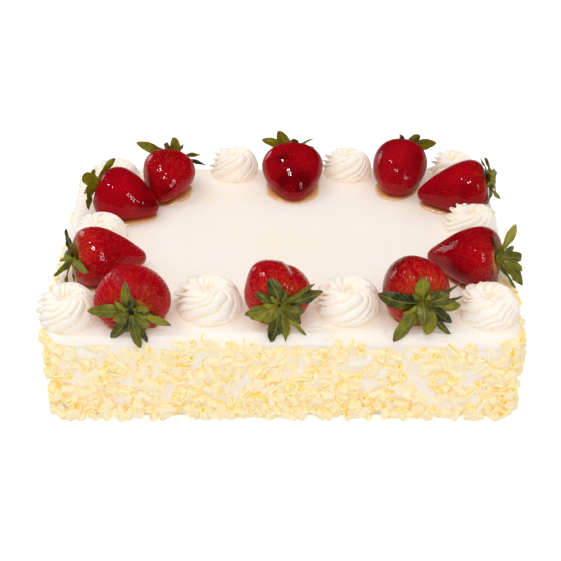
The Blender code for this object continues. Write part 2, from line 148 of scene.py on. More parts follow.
# A Principled material; fixed holds what is the same all over, and paint(wire) returns what varies
def finish(name, fixed, paint):
    made = bpy.data.materials.new(name)
    made.use_nodes = True
    tree = made.node_tree
    shader = tree.nodes["Principled BSDF"]
    for key, value in fixed.items():
        shader.inputs[key].default_value = value
    for key, wire in paint(Wire(tree)).items():
        tree.links.new(wire.socket, shader.inputs[key])
    return made


# Numpy shapes

# Smooth noise from -1 to 1: random values on a lattice of the given cell size, eased between its corners
def softNoise(points, size, seed):
    lattice = np.random.default_rng(seed).random((32, 32, 32)) * 2 - 1
    spot = np.asarray(points, float) / size + 16
    cell = np.floor(spot).astype(int)
    ease = spot - cell
    ease = ease * ease * (3 - 2 * ease)
    total = 0.0
    for corner in np.ndindex(2, 2, 2):
        weight = np.prod(np.where(corner, ease, 1 - ease), axis=-1)
        at = (cell + corner) % 32
        total = total + weight * lattice[at[..., 0], at[..., 1], at[..., 2]]
    return total


# Vectors of length one
def unit(v):
    v = np.asarray(v, float)
    return v / np.maximum(np.linalg.norm(v, axis=-1, keepdims=True), 1e-9)


# Eased from 0 at low to 1 at high
def ramp(value, low, high):
    t = np.clip((value - low) / (high - low), 0, 1)
    return t * t * (3 - 2 * t)


# Quads of a grid, row by row; faces look out where the columns run anticlockwise round rising rows
def gridFaces(rows, columns, closed=True):
    row = np.arange(rows - 1)[:, None]
    column = np.arange(columns if closed else columns - 1)[None, :]
    a = row * columns + column
    b = row * columns + (column + 1) % columns
    return np.stack([a, b, b + columns, a + columns], -1).reshape(-1, 4)


# Triangles between one ring of a grid and a single point
def fanFaces(start, columns, pole, flipped):
    a = start + np.arange(columns)
    b = start + (np.arange(columns) + 1) % columns
    pole = np.full(columns, pole)
    return np.stack([b, a, pole] if flipped else [a, b, pole], -1)


# A grid closed at both ends: its points and one more for each end ring, with the faces between them
def closedGrid(points, first, last):
    rows, columns = points.shape[:2]
    count = rows * columns
    fans = [fanFaces(0, columns, count, True), fanFaces(count - columns, columns, count + 1, False)]
    return np.concatenate([points.reshape(-1, 3), [first, last]]), [gridFaces(rows, columns), *fans]


# Faces for many copies of one shape, with the numbers of its points raised for each copy
def copyFaces(faces, copies, points):
    return (faces + (np.arange(copies) * points)[:, None, None]).reshape(-1, faces.shape[1])


# Normals of a grid by central differences: along the columns crossed with along the rows
def gridNormals(points, closed=True):
    if closed:
        across = np.roll(points, -1, 1) - np.roll(points, 1, 1)
    else:
        across = np.gradient(points, axis=1)
    return unit(np.cross(across, np.gradient(points, axis=0)))


# Angles spread evenly round a circle
def roundAngles(count):
    return tau * np.arange(count) / count


# Points from their radius, angle and height
def turned(radius, angle, height):
    return np.stack(np.broadcast_arrays(radius * np.cos(angle), radius * np.sin(angle), height), -1)


# An object made of some data and put into the scene
def added(name, data):
    made = bpy.data.objects.new(name, data)
    bpy.context.scene.collection.objects.link(made)
    return made


# A mesh object from points in millimetres, arrays of faces and point fields
def putMesh(name, points, faces, material, fields=None, sharp=None):
    mesh = bpy.data.meshes.new(name)
    listed = [face for group in faces for face in group.tolist()]
    mesh.from_pydata((np.asarray(points).reshape(-1, 3) * mm).tolist(), [], listed)
    mesh.materials.append(material)
    for key, values in (fields or {}).items():
        spread = np.broadcast_to(values, points.shape[:-1]).astype(np.float32).ravel()
        mesh.attributes.new(key, "FLOAT", "POINT").data.foreach_set("value", spread)
    mesh.shade_smooth()
    if sharp:
        mesh.set_sharp_from_angle(angle=math.radians(sharp))
    return added(name, mesh)


# Points drawn in to stay inside the cake's overall box by a margin
def insideBox(points, margin):
    return np.clip(points, np.array(cadBox[0]) / mm + margin, np.array(cadBox[1]) / mm - margin)


# Join parts that share one material: their points and fields in a row, the numbers in their faces raised
def gather(parts):
    points = []
    faces = []
    fields = {}
    count = 0
    for part in parts:
        points.append(part["points"])
        faces += [group + count for group in part["faces"]]
        for key, values in part.get("fields", {}).items():
            fields.setdefault(key, []).append(np.broadcast_to(values, len(part["points"])))
        count += len(part["points"])
    return np.concatenate(points), faces, {key: np.concatenate(v) for key, v in fields.items()}


# A piece rides on the cake's one body and stands for its CAD nodes, which it hides. Its slot is not used.
def place(piece, slot, *nodes):
    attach(piece, "root")
    if nodes:
        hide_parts(*nodes)
    return piece


# Finishes

# The groove colour is painted warm shade for the cream's furrows and hollows
creamLook = {"high": shade(252, 244, 237), "low": shade(251, 241, 232), "grooveShade": shade(252, 226, 172)}


# Two creams in soft clouds of noise, turned butter yellow by the field of painted warm shade in furrows and
# hollows, with a fine grain
def creamPaint(wire):
    plain = wire.noise(24).step(0.35, 0.65).blend(creamLook["low"], creamLook["high"])
    tinted = wire.field("grooveShade").blend(plain, creamLook["grooveShade"])
    return {"Base Color": tinted, "Normal": wire.noise(1.6, 3.0, 0.6).bump(0.2, 0.4)}


# The emission is a painted glow that lifts the shade all over the cream
cream = finish("whippedCream", {
    "Roughness": 0.6, "Specular IOR Level": 0.3, "Subsurface Weight": 0.45, "Subsurface Scale": 0.005,
    "Subsurface Radius": (1.0, 0.9, 0.7), "Emission Strength": 0.14, "Emission Color": shade(250, 234, 208),
}, creamPaint)

# Pale and warm are the chocolate's own colours; gold is painted golden shade, and dull and glow colour a
# painted glow that lifts its shade
chocolateLook = {"pale": shade(251, 238, 212), "warm": shade(250, 233, 194), "gold": shade(250, 224, 110),
                 "glow": shade(252, 218, 60), "dull": shade(244, 228, 186)}


# Pale to warm by the tone field and noise, then painted golden shade by the sum of the inside and deep
# fields, which also colours the painted glow
def chocolatePaint(wire):
    outer = wire.field("tone").mottled(3.0, 0.5).blend(chocolateLook["pale"], chocolateLook["warm"])
    gold = (wire.field("inside") * 0.95 + wire.field("deep") * 0.45).held()
    return {"Base Color": gold.blend(outer, chocolateLook["gold"]), "Normal": wire.noise(0.9).bump(0.15, 0.3),
            "Emission Color": gold.blend(chocolateLook["dull"], chocolateLook["glow"])}


# The emission is a painted glow standing in for light through the chocolate; it lifts the shade everywhere
chocolate = finish("whiteChocolate", {
    "Roughness": 0.5, "Specular IOR Level": 0.25, "Subsurface Weight": 0.6, "Subsurface Scale": 0.002,
    "Subsurface Radius": (1.0, 0.9, 0.6), "Emission Strength": 0.17,
}, chocolatePaint)

# The pit colour is painted shade for the seed hollows; the others are the berry's own colours
berryLook = {"bright": shade(208, 8, 30), "deep": shade(150, 0, 16), "dark": shade(104, 0, 9),
             "pale": shade(232, 84, 34), "pit": shade(78, 0, 6), "flesh": shade(232, 62, 52),
             "neck": shade(238, 160, 76)}


# Bright to deep red by ripeness and noise, and to dark where their sum is highest. Over it lie pale
# shoulders, streaks of flesh, the straw-coloured neck, which has little gloss, and the dark pits, painted
# shade in the seed hollows.
def berryPaint(wire):
    blush = wire.field("ripe").mottled(11, 0.4)
    red = blush.blend(berryLook["bright"], berryLook["deep"])
    red = (blush - 0.75).step(0.0, 0.35).blend(red, berryLook["dark"])
    red = wire.field("shoulder").blend(red, berryLook["pale"])
    streaks = wire.noise(3.0, 3.0, 0.6).step(0.45, 0.72) * wire.field("flesh")
    red = streaks.blend(red, berryLook["flesh"])
    neck = wire.field("neck")
    red = (neck * 0.7).blend(red, berryLook["neck"])
    # Painted shade in the hollow round each seed
    red = (wire.field("pit") * 0.75).blend(red, berryLook["pit"])
    grain = wire.noise(1.7, 1.0) * wire.field("flesh")
    return {"Base Color": red, "Normal": grain.bump(0.6, 0.8), "Coat Weight": 1 - neck * 0.85}


berrySkin = finish("berrySkin", {"Roughness": 0.5, "Specular IOR Level": 0.0, "Coat Weight": 1.0,
                                 "Coat Roughness": 0.03, "Coat IOR": 1.24}, berryPaint)

seedLook = {"dark": shade(70, 4, 6), "gold": shade(186, 116, 36)}


# Dark to gold by the tone field and noise
def seedPaint(wire):
    return {"Base Color": wire.field("tone").mottled(2.0, 0.3).blend(seedLook["dark"], seedLook["gold"])}


seedHusk = finish("seedHusk", {"Roughness": 0.4, "Specular IOR Level": 0.2, "Coat Weight": 0.5,
                               "Coat Roughness": 0.08}, seedPaint)

leafLook = {"green": shade(148, 142, 22), "dark": shade(36, 42, 1), "vein": shade(172, 166, 88),
            "tip": shade(112, 70, 30), "heart": shade(128, 124, 16), "pit": shade(36, 28, 6)}


# Dark to green by tone and noise. The rib runs along the middle, and the side veins are a sine that leans
# out from it; then come the heart near the hub, the dry tip and the hub's pit, painted dark as shade in its
# hollow.
def leafPaint(wire):
    along = wire.field("along")
    across = wire.field("across")
    green = (wire.field("tone") * 0.9).mottled(7.0, 1.2).blend(leafLook["dark"], leafLook["green"])
    rib = 1 - across.step(0.02, 0.16)
    side = wire.math("SINE", (along * 6 - across * 1.8) * tau).step(0.4, 1.0) * across.step(0.1, 0.4)
    green = (rib * 0.34 + side * 0.12).held().blend(green, leafLook["vein"])
    green = (1 - along.step(0.0, 0.22)).blend(green, leafLook["heart"])
    green = (along.step(0.84, 1.0) * wire.field("dry")).blend(green, leafLook["tip"])
    # Painted shade in the hub's hollow
    green = wire.field("hollow").blend(green, leafLook["pit"])
    return {"Base Color": green, "Normal": (rib + side).bump(0.25, 0.5)}


leafGreen = finish("leafGreen", {"Roughness": 0.36, "Specular IOR Level": 0.28}, leafPaint)

glazeLook = {"thin": shade(246, 198, 146), "thick": shade(230, 142, 76)}


# Thin to thick amber by the depth field and noise
def glazePaint(wire):
    return {"Base Color": wire.field("depth").mottled(6.0, 0.3).blend(glazeLook["thin"], glazeLook["thick"])}


amberGlaze = finish("amberGlaze", {"Roughness": 0.25, "Coat Weight": 0.5, "Coat Roughness": 0.06}, glazePaint)
print("finishes mixed")


# The cream-covered block

cake = {
    "length": 330.0, "width": 229.0, "height": 75.0,
    "corner": 14.0,  # radius of the corners at the rim
    "ease": (7.0, 0.3),  # inset up to which that radius shrinks slowly, and by what share of it
    "wall": ((0, 6.0), (10, 4.5), (36, 3.0), (58, 1.5), (63, 0.8)),  # height, inset from the rim
    "rimFrom": 63.0, "rimIn": 9.0,  # where the rim starts to roll over, and how far in
    "columns": (14, 215, 130),  # round a corner, along a long side, along a short side
    "wallRows": 40, "rimRows": 18, "topRows": 50,
    "rimBand": (56, 66), "topBand": (73.5, 74.8),  # heights at which rim and top take over
    "lumps": 0.7, "streaks": 1.1, "combing": 0.16, "swell": 0.4, "bulge": 2.2,  # depths of the relief
    "lumpCells": (11, 5),  # sizes of the noise that gives the lumps, coarse and fine
    "streakCells": ((60, 60, 1.9), (38, 38, 3.4)),
    "combCells": ((70, 3.2, 30), (110, 9, 30)), "swellCell": 55,
    "bareCell": 8.5, "bareBand": (0.15, 0.55),  # noise that parts the curls, and where the cream bulges by it
    "lip": (64.0, 3.0, 1.5),  # height of the lip's lower edge, how far it wanders and stands out
    "lipCell": 24, "lipEdge": 1.2, "lipEnd": (71, 74.9),  # its waves, its steepness, and where it fades out
    "shelf": (95, 130, 4.5, 1.3),  # x over which it becomes a ledge at the left, and what the ledge adds
    "scrapes": ((-86, -104, 8), (-118, -108, 7), (22, -100, 7), (-20, -112, 6),
                (72, -108, 6)),  # x, y and radius of the places that the spatula left rough
}
cakeHalf = np.array([cake["length"], cake["width"]]) / 2


# How far the wall stands in from the rim at height z
def wallInset(z):
    heights, insets = zip(*cake["wall"])
    return np.interp(z, heights, insets)


# Columns round the cake: the two corners a column lies between, its share of the way, and the angle it faces
def wallColumns(cornerSteps, longSteps, shortSteps):
    signs = np.array([(1, 1), (-1, 1), (-1, -1), (1, -1)], float)
    first, second, share, facing = [], [], [], []
    for quarter in range(4):
        steps = longSteps if quarter % 2 == 0 else shortSteps
        arc = np.arange(cornerSteps) / cornerSteps
        straight = np.arange(steps) / steps
        count = cornerSteps + steps
        first.append(np.repeat(signs[quarter][None], count, 0))
        second.append(np.repeat(signs[(quarter + 1) % 4][None], count, 0))
        share.append(np.concatenate([arc * 0, straight]))
        facing.append((quarter + np.concatenate([arc, straight * 0 + 1])) * tau / 4)
    return np.concatenate(first), np.concatenate(second), np.concatenate(share), np.concatenate(facing)


# Rounded rectangles at some insets: corner centres plus a radius that shrinks towards the middle
def cakeRings(insets, columns):
    first, second, share, facing = columns
    insets = np.asarray(insets, float)[:, None]
    slow, loss = cake["ease"]
    inner = (insets - slow).clip(0) / (cakeHalf[1] - slow)
    radius = (cake["corner"] - np.minimum(insets, slow) * loss) * (1 - inner)
    reach = cakeHalf - insets[..., None] - radius[..., None]
    middle = first + (second - first) * share[:, None]
    out = np.stack([np.cos(facing), np.sin(facing)], -1)
    return middle * reach + radius[..., None] * out


# Noise of the wall: over the curls' bare level no curls lie, and the cream bulges between them
def bareness(points):
    return softNoise(points, cake["bareCell"], 9)


# Relief of the spread cream. The wall has lumps of two sizes and bulges where it is bare; the rim has noise
# folded into ridges and drawn out along the sides; the lip stands out above a wandering edge; the top has
# faint combing and a slow swell; and where the spatula scraped, short folded ridges.
def creamRelief(points):
    x, y, z = np.moveaxis(points, -1, 0)
    onRim = ramp(z, *cake["rimBand"])
    onTop = ramp(z, *cake["topBand"])
    coarse, fine = cake["lumpCells"]
    lumps = softNoise(points, coarse, 1) + 0.5 * softNoise(points, fine, 2)
    coarse, fine = cake["streakCells"]
    drag = (1 - np.abs(softNoise(points, coarse, 3))) ** 3 + 0.5 * softNoise(points, fine, 4)
    fine, coarse = cake["combCells"]
    comb = softNoise(points, fine, 5) + softNoise(points, coarse, 6)
    swell = cake["swell"] * softNoise(points, cake["swellCell"], 7)
    level, wander, stand = cake["lip"]
    ledgeFrom, ledgeFull, higher, further = cake["shelf"]
    heaped = ramp(-x, ledgeFrom, ledgeFull) * ramp(-y, 60, 100)
    edge = level + wander * softNoise(points * (1, 1, 0), cake["lipCell"], 10) + higher * heaped
    lip = (stand + further * heaped) * ramp(z - edge, 0, cake["lipEdge"]) * (1 - ramp(z, *cake["lipEnd"]))
    folds = 1.9 * (1 - np.abs(softNoise(points, (6.0, 3.2, 5.0), 11))) ** 3 - 0.4
    rough = 0.0
    for middleX, middleY, radius in cake["scrapes"]:
        rough = rough + np.exp(-((x - middleX) ** 2 + (y - middleY) ** 2) / radius ** 2) * folds
    bulge = cake["bulge"] * ramp(bareness(points), *cake["bareBand"])
    wall = (cake["lumps"] * lumps + bulge) * (1 - onRim) * ramp(z, 0, 6)
    rim = cake["streaks"] * (drag - 0.3) * onRim * (1 - onTop)
    top = onTop * (cake["combing"] * comb + swell - 0.45)
    return wall + rim + lip + top + rough * ramp(z, 66, 74)


# The wall, the rim rolled over like a quarter ellipse, and the top in shrinking rings
def icingGrid():
    columns = wallColumns(*cake["columns"])
    wallZ = np.linspace(0, cake["rimFrom"], cake["wallRows"], endpoint=False)
    turn = np.linspace(0, math.pi / 2, cake["rimRows"], endpoint=False)
    rimStart = float(wallInset(cake["rimFrom"]))
    rimZ = cake["rimFrom"] + (cake["height"] - cake["rimFrom"]) * np.sin(turn)
    rimInset = rimStart + cake["rimIn"] * (1 - np.cos(turn))
    topStart = rimStart + cake["rimIn"]
    topInset = topStart + (cakeHalf[1] - topStart) * np.linspace(0, 1, cake["topRows"]) ** 1.5
    insets = np.concatenate([wallInset(wallZ), rimInset, topInset])
    heights = np.concatenate([wallZ, rimZ, np.full(cake["topRows"], cake["height"])])
    flat = cakeRings(insets, columns)
    points = np.concatenate([flat, np.broadcast_to(heights[:, None, None], (*flat.shape[:2], 1))], -1)
    relief = creamRelief(points)
    normals = gridNormals(points)
    normals[-3:] = (0, 0, 1)
    return points + normals * relief[..., None], relief


# The icing: the grid closed under its middle. It is tinted a little as painted warm shade where the relief is
# low, and a little more yellow all over the wall.
def makeIcing():
    points, relief = icingGrid()
    rows, columns = points.shape[:2]
    flat = np.concatenate([points.reshape(-1, 3), [(0, 0, 0)]])
    faces = [gridFaces(rows, columns), fanFaces(0, columns, rows * columns, True)]
    onWall = 1 - ramp(points[..., 2], 60, 70)
    grooveShade = np.append((ramp(-relief, 0.3, 1.0) * 0.25 + 0.04 * onWall).ravel(), 0)
    piece = putMesh("icing", flat, faces, cream, {"grooveShade": grooveShade})
    shape = bmesh.new()
    shape.from_mesh(piece.data)
    bmesh.ops.remove_doubles(shape, verts=shape.verts, dist=0.00002)  # the innermost ring folds onto a line
    shape.to_mesh(piece.data)
    shape.free()
    return place(piece, "icing", "cake")


makeIcing()
print("icing spread")


# Chocolate curls

curls = {
    "columnGap": 8.6, "rowGap": 7.4, "jitter": 3.4,  # lattice they are strewn from
    "length": (7.5, 12.0), "thickness": 1.6,
    "kinds": (  # share, radius, turns, share of length and of skew, tilt off the wall, painted golden shade inside
        (0.72, (2.9, 4.4), (1.05, 1.35), 1.0, 1.0, 0.55, 1.0),  # tight rolls
        (0.16, (4.0, 5.4), (0.42, 0.62), 1.0, 1.0, 0.35, 0.8),  # open troughs
        (0.12, (8.0, 12.0), (0.10, 0.15), 0.75, 0.35, 0.18, 0.15),  # flakes
    ),
    "bare": 0.36,  # noise over which the cream is left bare
    "second": 0.62,  # share that lies on top of others
    "steps": 12,  # points along the rolled strip
    "flare": (0.72, 1.0), "skew": 0.5,  # narrowing of the far end, and slant of both ends
    "proud": (0.55, 2.2),  # share of its depth that stands out, and step of a layer
    "spare": 0.15,  # room left inside the block's box
    "band": 65.0, "waves": (3.0, 14),  # usual height of the coat, and the rise and width of its edge's waves
    "sides": (-1.0, 9.0, -0.3, 4.0),  # what the short sides add: height at back and front, then reach
    "foot": (9.0, 6.0),  # height and reach of the heap at the base
    "heaps": ((-156, 9, 7), (-69, 8, 8), (-47, 9, 10), (34, 9, 10), (52, 8, 8), (147, 9, 5),
              (-128, 9, 6)),  # x, width and rise of the heaps along the front
    "seed": 21,
}
crumbs = {
    "count": 700, "size": (0.7, 2.2),
    "shape": (1.3, 0.8, 0.5), "shake": 0.5,  # proportions of a crumb, and how far its corners stray
    "proud": (0.4, 2.4), "rise": 1.3,  # how far out they sit, and how they thin out upwards
    "seed": 22,
}


# The wall as a strip: share of the way round to a point of the rim line and the direction it faces
def wallStrip(share):
    columns = wallColumns(24, 60, 40)
    ring = cakeRings([0], columns)[0]
    loop = np.concatenate([ring, ring[:1]])
    facing = np.append(columns[3], columns[3][0] + tau)
    run = np.append(0, np.cumsum(np.linalg.norm(np.diff(loop, axis=0), axis=1)))
    at = np.mod(share, 1) * run[-1]
    turn = np.interp(at, run, facing)
    spot = np.stack([np.interp(at, run, loop[:, 0]), np.interp(at, run, loop[:, 1])], -1)
    return spot, np.stack([np.cos(turn), np.sin(turn)], -1), run[-1]


# What the short sides add, growing from back to front
def sideShare(spot, back, front):
    return (back + (front - back) * ramp(-spot[:, 1], -15, 35)) * ramp(np.abs(spot[:, 0]), 155, 164)


# Upper edge of the coat: uneven all round, with the heaps along the front
def coatTop(spot):
    rise, width = curls["waves"]
    level = curls["band"] + rise * softNoise(np.append(spot, spot[:, :1] * 0, axis=1), width, 8)
    level = level + sideShare(spot, *curls["sides"][:2])
    for x, width, rise in curls["heaps"]:
        level = level + rise * np.exp(-((spot[:, 0] - x) / width) ** 2) * (spot[:, 1] < 0)
    return level


# Strips rolled into scrolls: radius falls as the angle grows, outer face out and inner face back.
# Each is a closed loop of points at either end of its axis, the far one narrower, both cut askew.
def rolledStrips(length, radius, turns, flare, skew, start):
    steps = curls["steps"]
    t = np.linspace(0, 1, steps)
    angle = start[:, None] + tau * turns[:, None] * t
    wound = radius[:, None] - (curls["thickness"] + 0.2) * turns[:, None] * t * (turns[:, None] > 0.9)
    angle = np.concatenate([angle, angle[:, ::-1]], 1)
    thin = curls["thickness"] * (0.55 + 0.45 * np.sin(math.pi * t))
    reach = np.concatenate([wound, wound[:, ::-1] - thin], 1)
    wayIn = np.concatenate([0.1 * t, (0.3 + 0.7 * t)[::-1]])
    ends = np.concatenate([np.sin(7 * t), np.sin(7 * t[::-1])])
    loops = []
    for end, scale in ((-1, 1.0), (1, flare[:, None])):
        x = end * ((0.5 + 0.06 * ends) * length[:, None] + skew[:, None] * np.cos(angle) * radius[:, None])
        loops.append(np.stack([x, scale * reach * np.cos(angle), scale * reach * np.sin(angle)], -1))
    return np.stack(loops, 1), np.broadcast_to(wayIn, (len(length), 2, 2 * steps))


# Faces of one strip: between its two loops, and a row of quads across either end
def stripFaces():
    steps = curls["steps"]
    around = gridFaces(2, 2 * steps)
    i = np.arange(steps - 1)
    near = np.stack([i, 2 * steps - 1 - i, 2 * steps - 2 - i, i + 1], -1)
    return np.concatenate([around, near, near[:, ::-1] + 2 * steps])


# Turn local points into the world by one set of three axes for each
def posed(local, centre, axis, side, up):
    return (centre[:, None] + local[..., :1] * axis[:, None] + local[..., 1:2] * side[:, None]
            + local[..., 2:] * up[:, None])


# Shapes lifted until their lowest points clear the floor
def offFloor(points):
    return points + (0.1 - points[..., 2].min(1)).clip(0)[:, None, None] * (0, 0, 1)


# Where curls stand on the wall: two layers of a shaken lattice, up to the coat's top and off the bare
# patches, the second one thinned out. Gives the rim point, outward direction, height and layer of each.
def curlPlaces(dice):
    across = int(wallStrip(np.zeros(1))[2] / curls["columnGap"])
    down = int((curls["band"] + 14) / curls["rowGap"])
    column, row = (g.ravel() for g in np.meshgrid(np.arange(across), np.arange(down)))
    layer = np.repeat([0, 1], len(column))
    column, row = np.tile(column, 2), np.tile(row, 2)
    jitter = dice.uniform(-1, 1, (len(row), 2)) * curls["jitter"]
    share = (column + 0.5 * ((row + layer) % 2) + jitter[:, 0] / curls["columnGap"]) / across
    z = 2.2 + row * curls["rowGap"] + jitter[:, 1]
    spot, out, _ = wallStrip(share)
    keep = z < coatTop(spot)
    keep &= (bareness(np.append(spot, z[:, None], axis=1)) < curls["bare"]) | (z < 8)
    keep &= (layer == 0) | (dice.random(len(z)) < curls["second"])
    return spot[keep], out[keep], z[keep], layer[keep]


# The coat of curls: strips of three kinds, turned to lie along the wall at any angle, tilted off it a little,
# stood out by their own depth and layer, and drawn in where they would pass the block's box
def makeCurls():
    dice = np.random.default_rng(curls["seed"])
    spot, out, z, layer = curlPlaces(dice)
    count = len(z)
    shares, radii, spans, lengths, skews, tilts, insideShades = (np.array(column) for column in zip(*curls["kinds"]))
    kind = dice.choice(3, count, p=shares)
    least, most = (np.stack([radii[:, end], spans[:, end]], -1)[kind] for end in (0, 1))
    radius, turns = (least + (most - least) * dice.random((count, 2))).T
    length = dice.uniform(*curls["length"], count) * lengths[kind]
    flare = dice.uniform(*curls["flare"], count)
    skew = dice.uniform(-curls["skew"], curls["skew"], count) * skews[kind]
    local, wayIn = rolledStrips(length, radius, turns, flare, skew, dice.uniform(0, tau, count))
    local = local.reshape(count, -1, 3)
    local[..., 1:] -= (local[..., 1:].mean(1) * (kind > 0)[:, None])[:, None]
    along = np.stack([-out[:, 1], out[:, 0], 0 * z], -1)
    out3 = np.append(out, 0 * z[:, None], axis=1)
    lie = dice.uniform(0, math.pi, count)
    tilt = dice.normal(0, 1, count) * tilts[kind]
    flat = np.cos(lie)[:, None] * along + np.sin(lie)[:, None] * np.array([0, 0, 1.0])
    axis = np.cos(tilt)[:, None] * flat + np.sin(tilt)[:, None] * out3
    side = unit(np.cross(axis, np.cross(out3, axis)))
    body = radius * (1 - np.cos(math.pi * np.minimum(turns, 1))) / 2
    outward, step = curls["proud"]
    proud = body * outward + layer * step + sideShare(spot, *curls["sides"][2:])
    heap, reach = curls["foot"]
    proud = proud + (1 - z / heap).clip(0) * dice.uniform(0.2, 1.0, count) * reach
    face = spot - out * wallInset(z)[:, None]
    centre = np.concatenate([face + out * proud[:, None], z[:, None]], 1)
    points = posed(local, centre, axis, side, np.cross(axis, side))
    low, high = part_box("cake")
    room = np.array([min(high[i], -low[i]) / mm - cakeHalf[i] for i in (0, 1)]) - curls["spare"]
    beyond = ((points[..., :2] - spot[:, None]) * out[:, None]).sum(-1).max(1) - np.abs(out) @ room
    points[..., :2] -= (out * beyond.clip(0)[:, None])[:, None]
    points = offFloor(points)
    each = points.shape[1]
    faces = copyFaces(stripFaces(), count, each)
    stand = ((points[..., :2] - face[:, None]) * out[:, None]).sum(-1)
    # Painted golden shade: deep near the wall between the curls, and inside in the rolls' hollows
    fields = {"tone": np.repeat(dice.random(count), each), "deep": (1 - ramp(stand, -0.5, 2.5)).ravel(),
              "inside": (wayIn * insideShades[kind][:, None, None]).ravel()}
    print("curls:", count, "faces:", len(faces))
    return place(putMesh("curls", points.reshape(-1, 3), [faces], chocolate, fields, sharp=40), "chocolate")


# Crumbs: boxes with shaken corners, strewn over the same wall and thicker towards its foot
def makeCrumbs():
    dice = np.random.default_rng(crumbs["seed"])
    count = crumbs["count"]
    spot, out, _ = wallStrip(dice.random(count))
    z = dice.random((2, count))[1] ** crumbs["rise"] * (coatTop(spot) + 1)
    corner = np.array([(x, y, w) for x in (-1, 1) for y in (-1, 1) for w in (-1, 1)], float) / 2
    size = dice.uniform(*crumbs["size"], (count, 3)) * crumbs["shape"]
    local = corner * size[:, None] * (1 + crumbs["shake"] * dice.uniform(-1, 1, (count, 8, 3)))
    out3 = np.append(out, 0 * z[:, None], axis=1)
    axis = unit(dice.normal(0, 1, (count, 3)) + 0.2 * out3)
    side = unit(np.cross(axis, out3))
    face = spot - out * wallInset(z)[:, None] + out * dice.uniform(*crumbs["proud"], count)[:, None]
    points = offFloor(posed(local, np.append(face, z[:, None], axis=1), axis, side, np.cross(axis, side)))
    box = np.array([(0, 1, 3, 2), (4, 6, 7, 5), (0, 4, 5, 1), (2, 3, 7, 6), (0, 2, 6, 4), (1, 5, 7, 3)])
    # A little of the painted golden shade and glow
    fields = {"tone": np.repeat(dice.random(count), 8), "inside": 0.1, "deep": 0.2}
    faces = [copyFaces(box, count, 8)]
    return place(putMesh("crumbs", points.reshape(-1, 3), faces, chocolate, fields, sharp=20), "chocolate")


makeCurls()
makeCrumbs()
print("curls strewn")


# Berries

# Stem and tip are x, y and height over the cream; lobes are angle, spread, share of the way and swell in mm
fruits = {
    1: {"stem": (-144, 47, 20.5), "tip": (-96, 36, 7), "width": 45.5, "flat": 0.88, "taper": 0.44,
        "blunt": 0.85, "ripe": 0.62, "gap": 3.7, "pit": 0.13},
    2: {"stem": (-88, 93, 20), "tip": (-97, 47.5, 8), "width": 43, "flat": 0.86, "taper": 0.42,
        "blunt": 0.85, "lobes": ((170, 30, 0.6, -2.0), (90, 40, 0.25, -1.0)),
        "ripe": 0.62, "gap": 3.8, "gold": 0.6, "pale": 0.3, "pit": 0.14, "rough": 0.25},
    3: {"stem": (7, 102, 19), "tip": (9, 54.5, 6), "width": 48.5, "flat": 0.84, "taper": 0.40,
        "blunt": 0.72, "cleft": 0.04, "lobes": ((10, 35, 0.7, -1.0),),
        "ripe": 0.7, "gap": 3.4, "gold": 0.06, "pit": 0.10, "rough": 0.1},
    4: {"stem": (98, 106, 21), "tip": (87, 59, 9), "width": 43.5, "flat": 0.92, "taper": 0.22,
        "blunt": 0.80, "ripe": 0.32, "gap": 2.6, "pit": 0.16},
    5: {"stem": (159, 52, 22), "tip": (105.5, 56, 7), "width": 45, "flat": 0.88, "taper": 0.52,
        "blunt": 0.72, "bend": -1.5, "lobes": ((90, 60, 0.78, 1.2),),
        "ripe": 0.56, "gap": 3.4, "gold": 0.12, "pale": 0.15, "pit": 0.14, "rough": 0.05},
    6: {"stem": (153, -51, 21.5), "tip": (105, -30, 9), "width": 47.5, "flat": 0.90, "taper": 0.55,
        "blunt": 0.78, "ripe": 0.66, "gap": 3.5, "gold": 0.15, "pale": 0.12, "pit": 0.16, "rough": 0.15},
    7: {"stem": (94, -106, 22), "tip": (84, -56, 14), "width": 46, "flat": 1.0, "taper": 0.30,
        "blunt": 0.80, "lobes": ((90, 40, 0.5, 1.0),),
        "ripe": 0.7, "gap": 3.5, "gold": 0.7, "pale": 0.62, "pit": 0.30, "rough": 0.6},
    8: {"stem": (-3, -106, 20), "tip": (-5, -58, 14), "width": 45, "flat": 0.95, "taper": 0.20,
        "blunt": 0.80, "lobes": ((56, 26, 0.5, 3.8), (121, 13, 0.5, -3.2), (144, 22, 0.5, -1.4)),
        "cleft": 0.09, "ripe": 0.42, "gap": 3.4, "gold": 0.75, "pale": 0.6, "pit": 0.32, "rough": 0.6},
    9: {"stem": (-102, -112, 19), "tip": (-105, -62, 13), "width": 52, "flat": 0.86, "taper": 0.30,
        "blunt": 0.80, "cleft": 0.05, "lobes": ((80, 38, 0.5, 2.4), (25, 25, 0.5, -1.0)),
        "ripe": 0.5, "gap": 3.6, "gold": 0.75, "pale": 0.2, "pit": 0.65, "rough": 0.35},
    10: {"stem": (-149, -49, 21.5), "tip": (-100, -31, 8), "width": 45, "flat": 0.94, "taper": 0.55,
         "blunt": 0.72, "ripe": 0.38, "gap": 3.6, "gold": 0.35, "pale": 0.3, "pit": 0.2, "rough": 0.35},
}
plainFruit = {"bend": 0, "cleft": 0, "lobes": (), "gold": 0.0, "pale": 0.0, "rough": 0.0}
fruits = {number: {**plainFruit, **spec} for number, spec in fruits.items()}
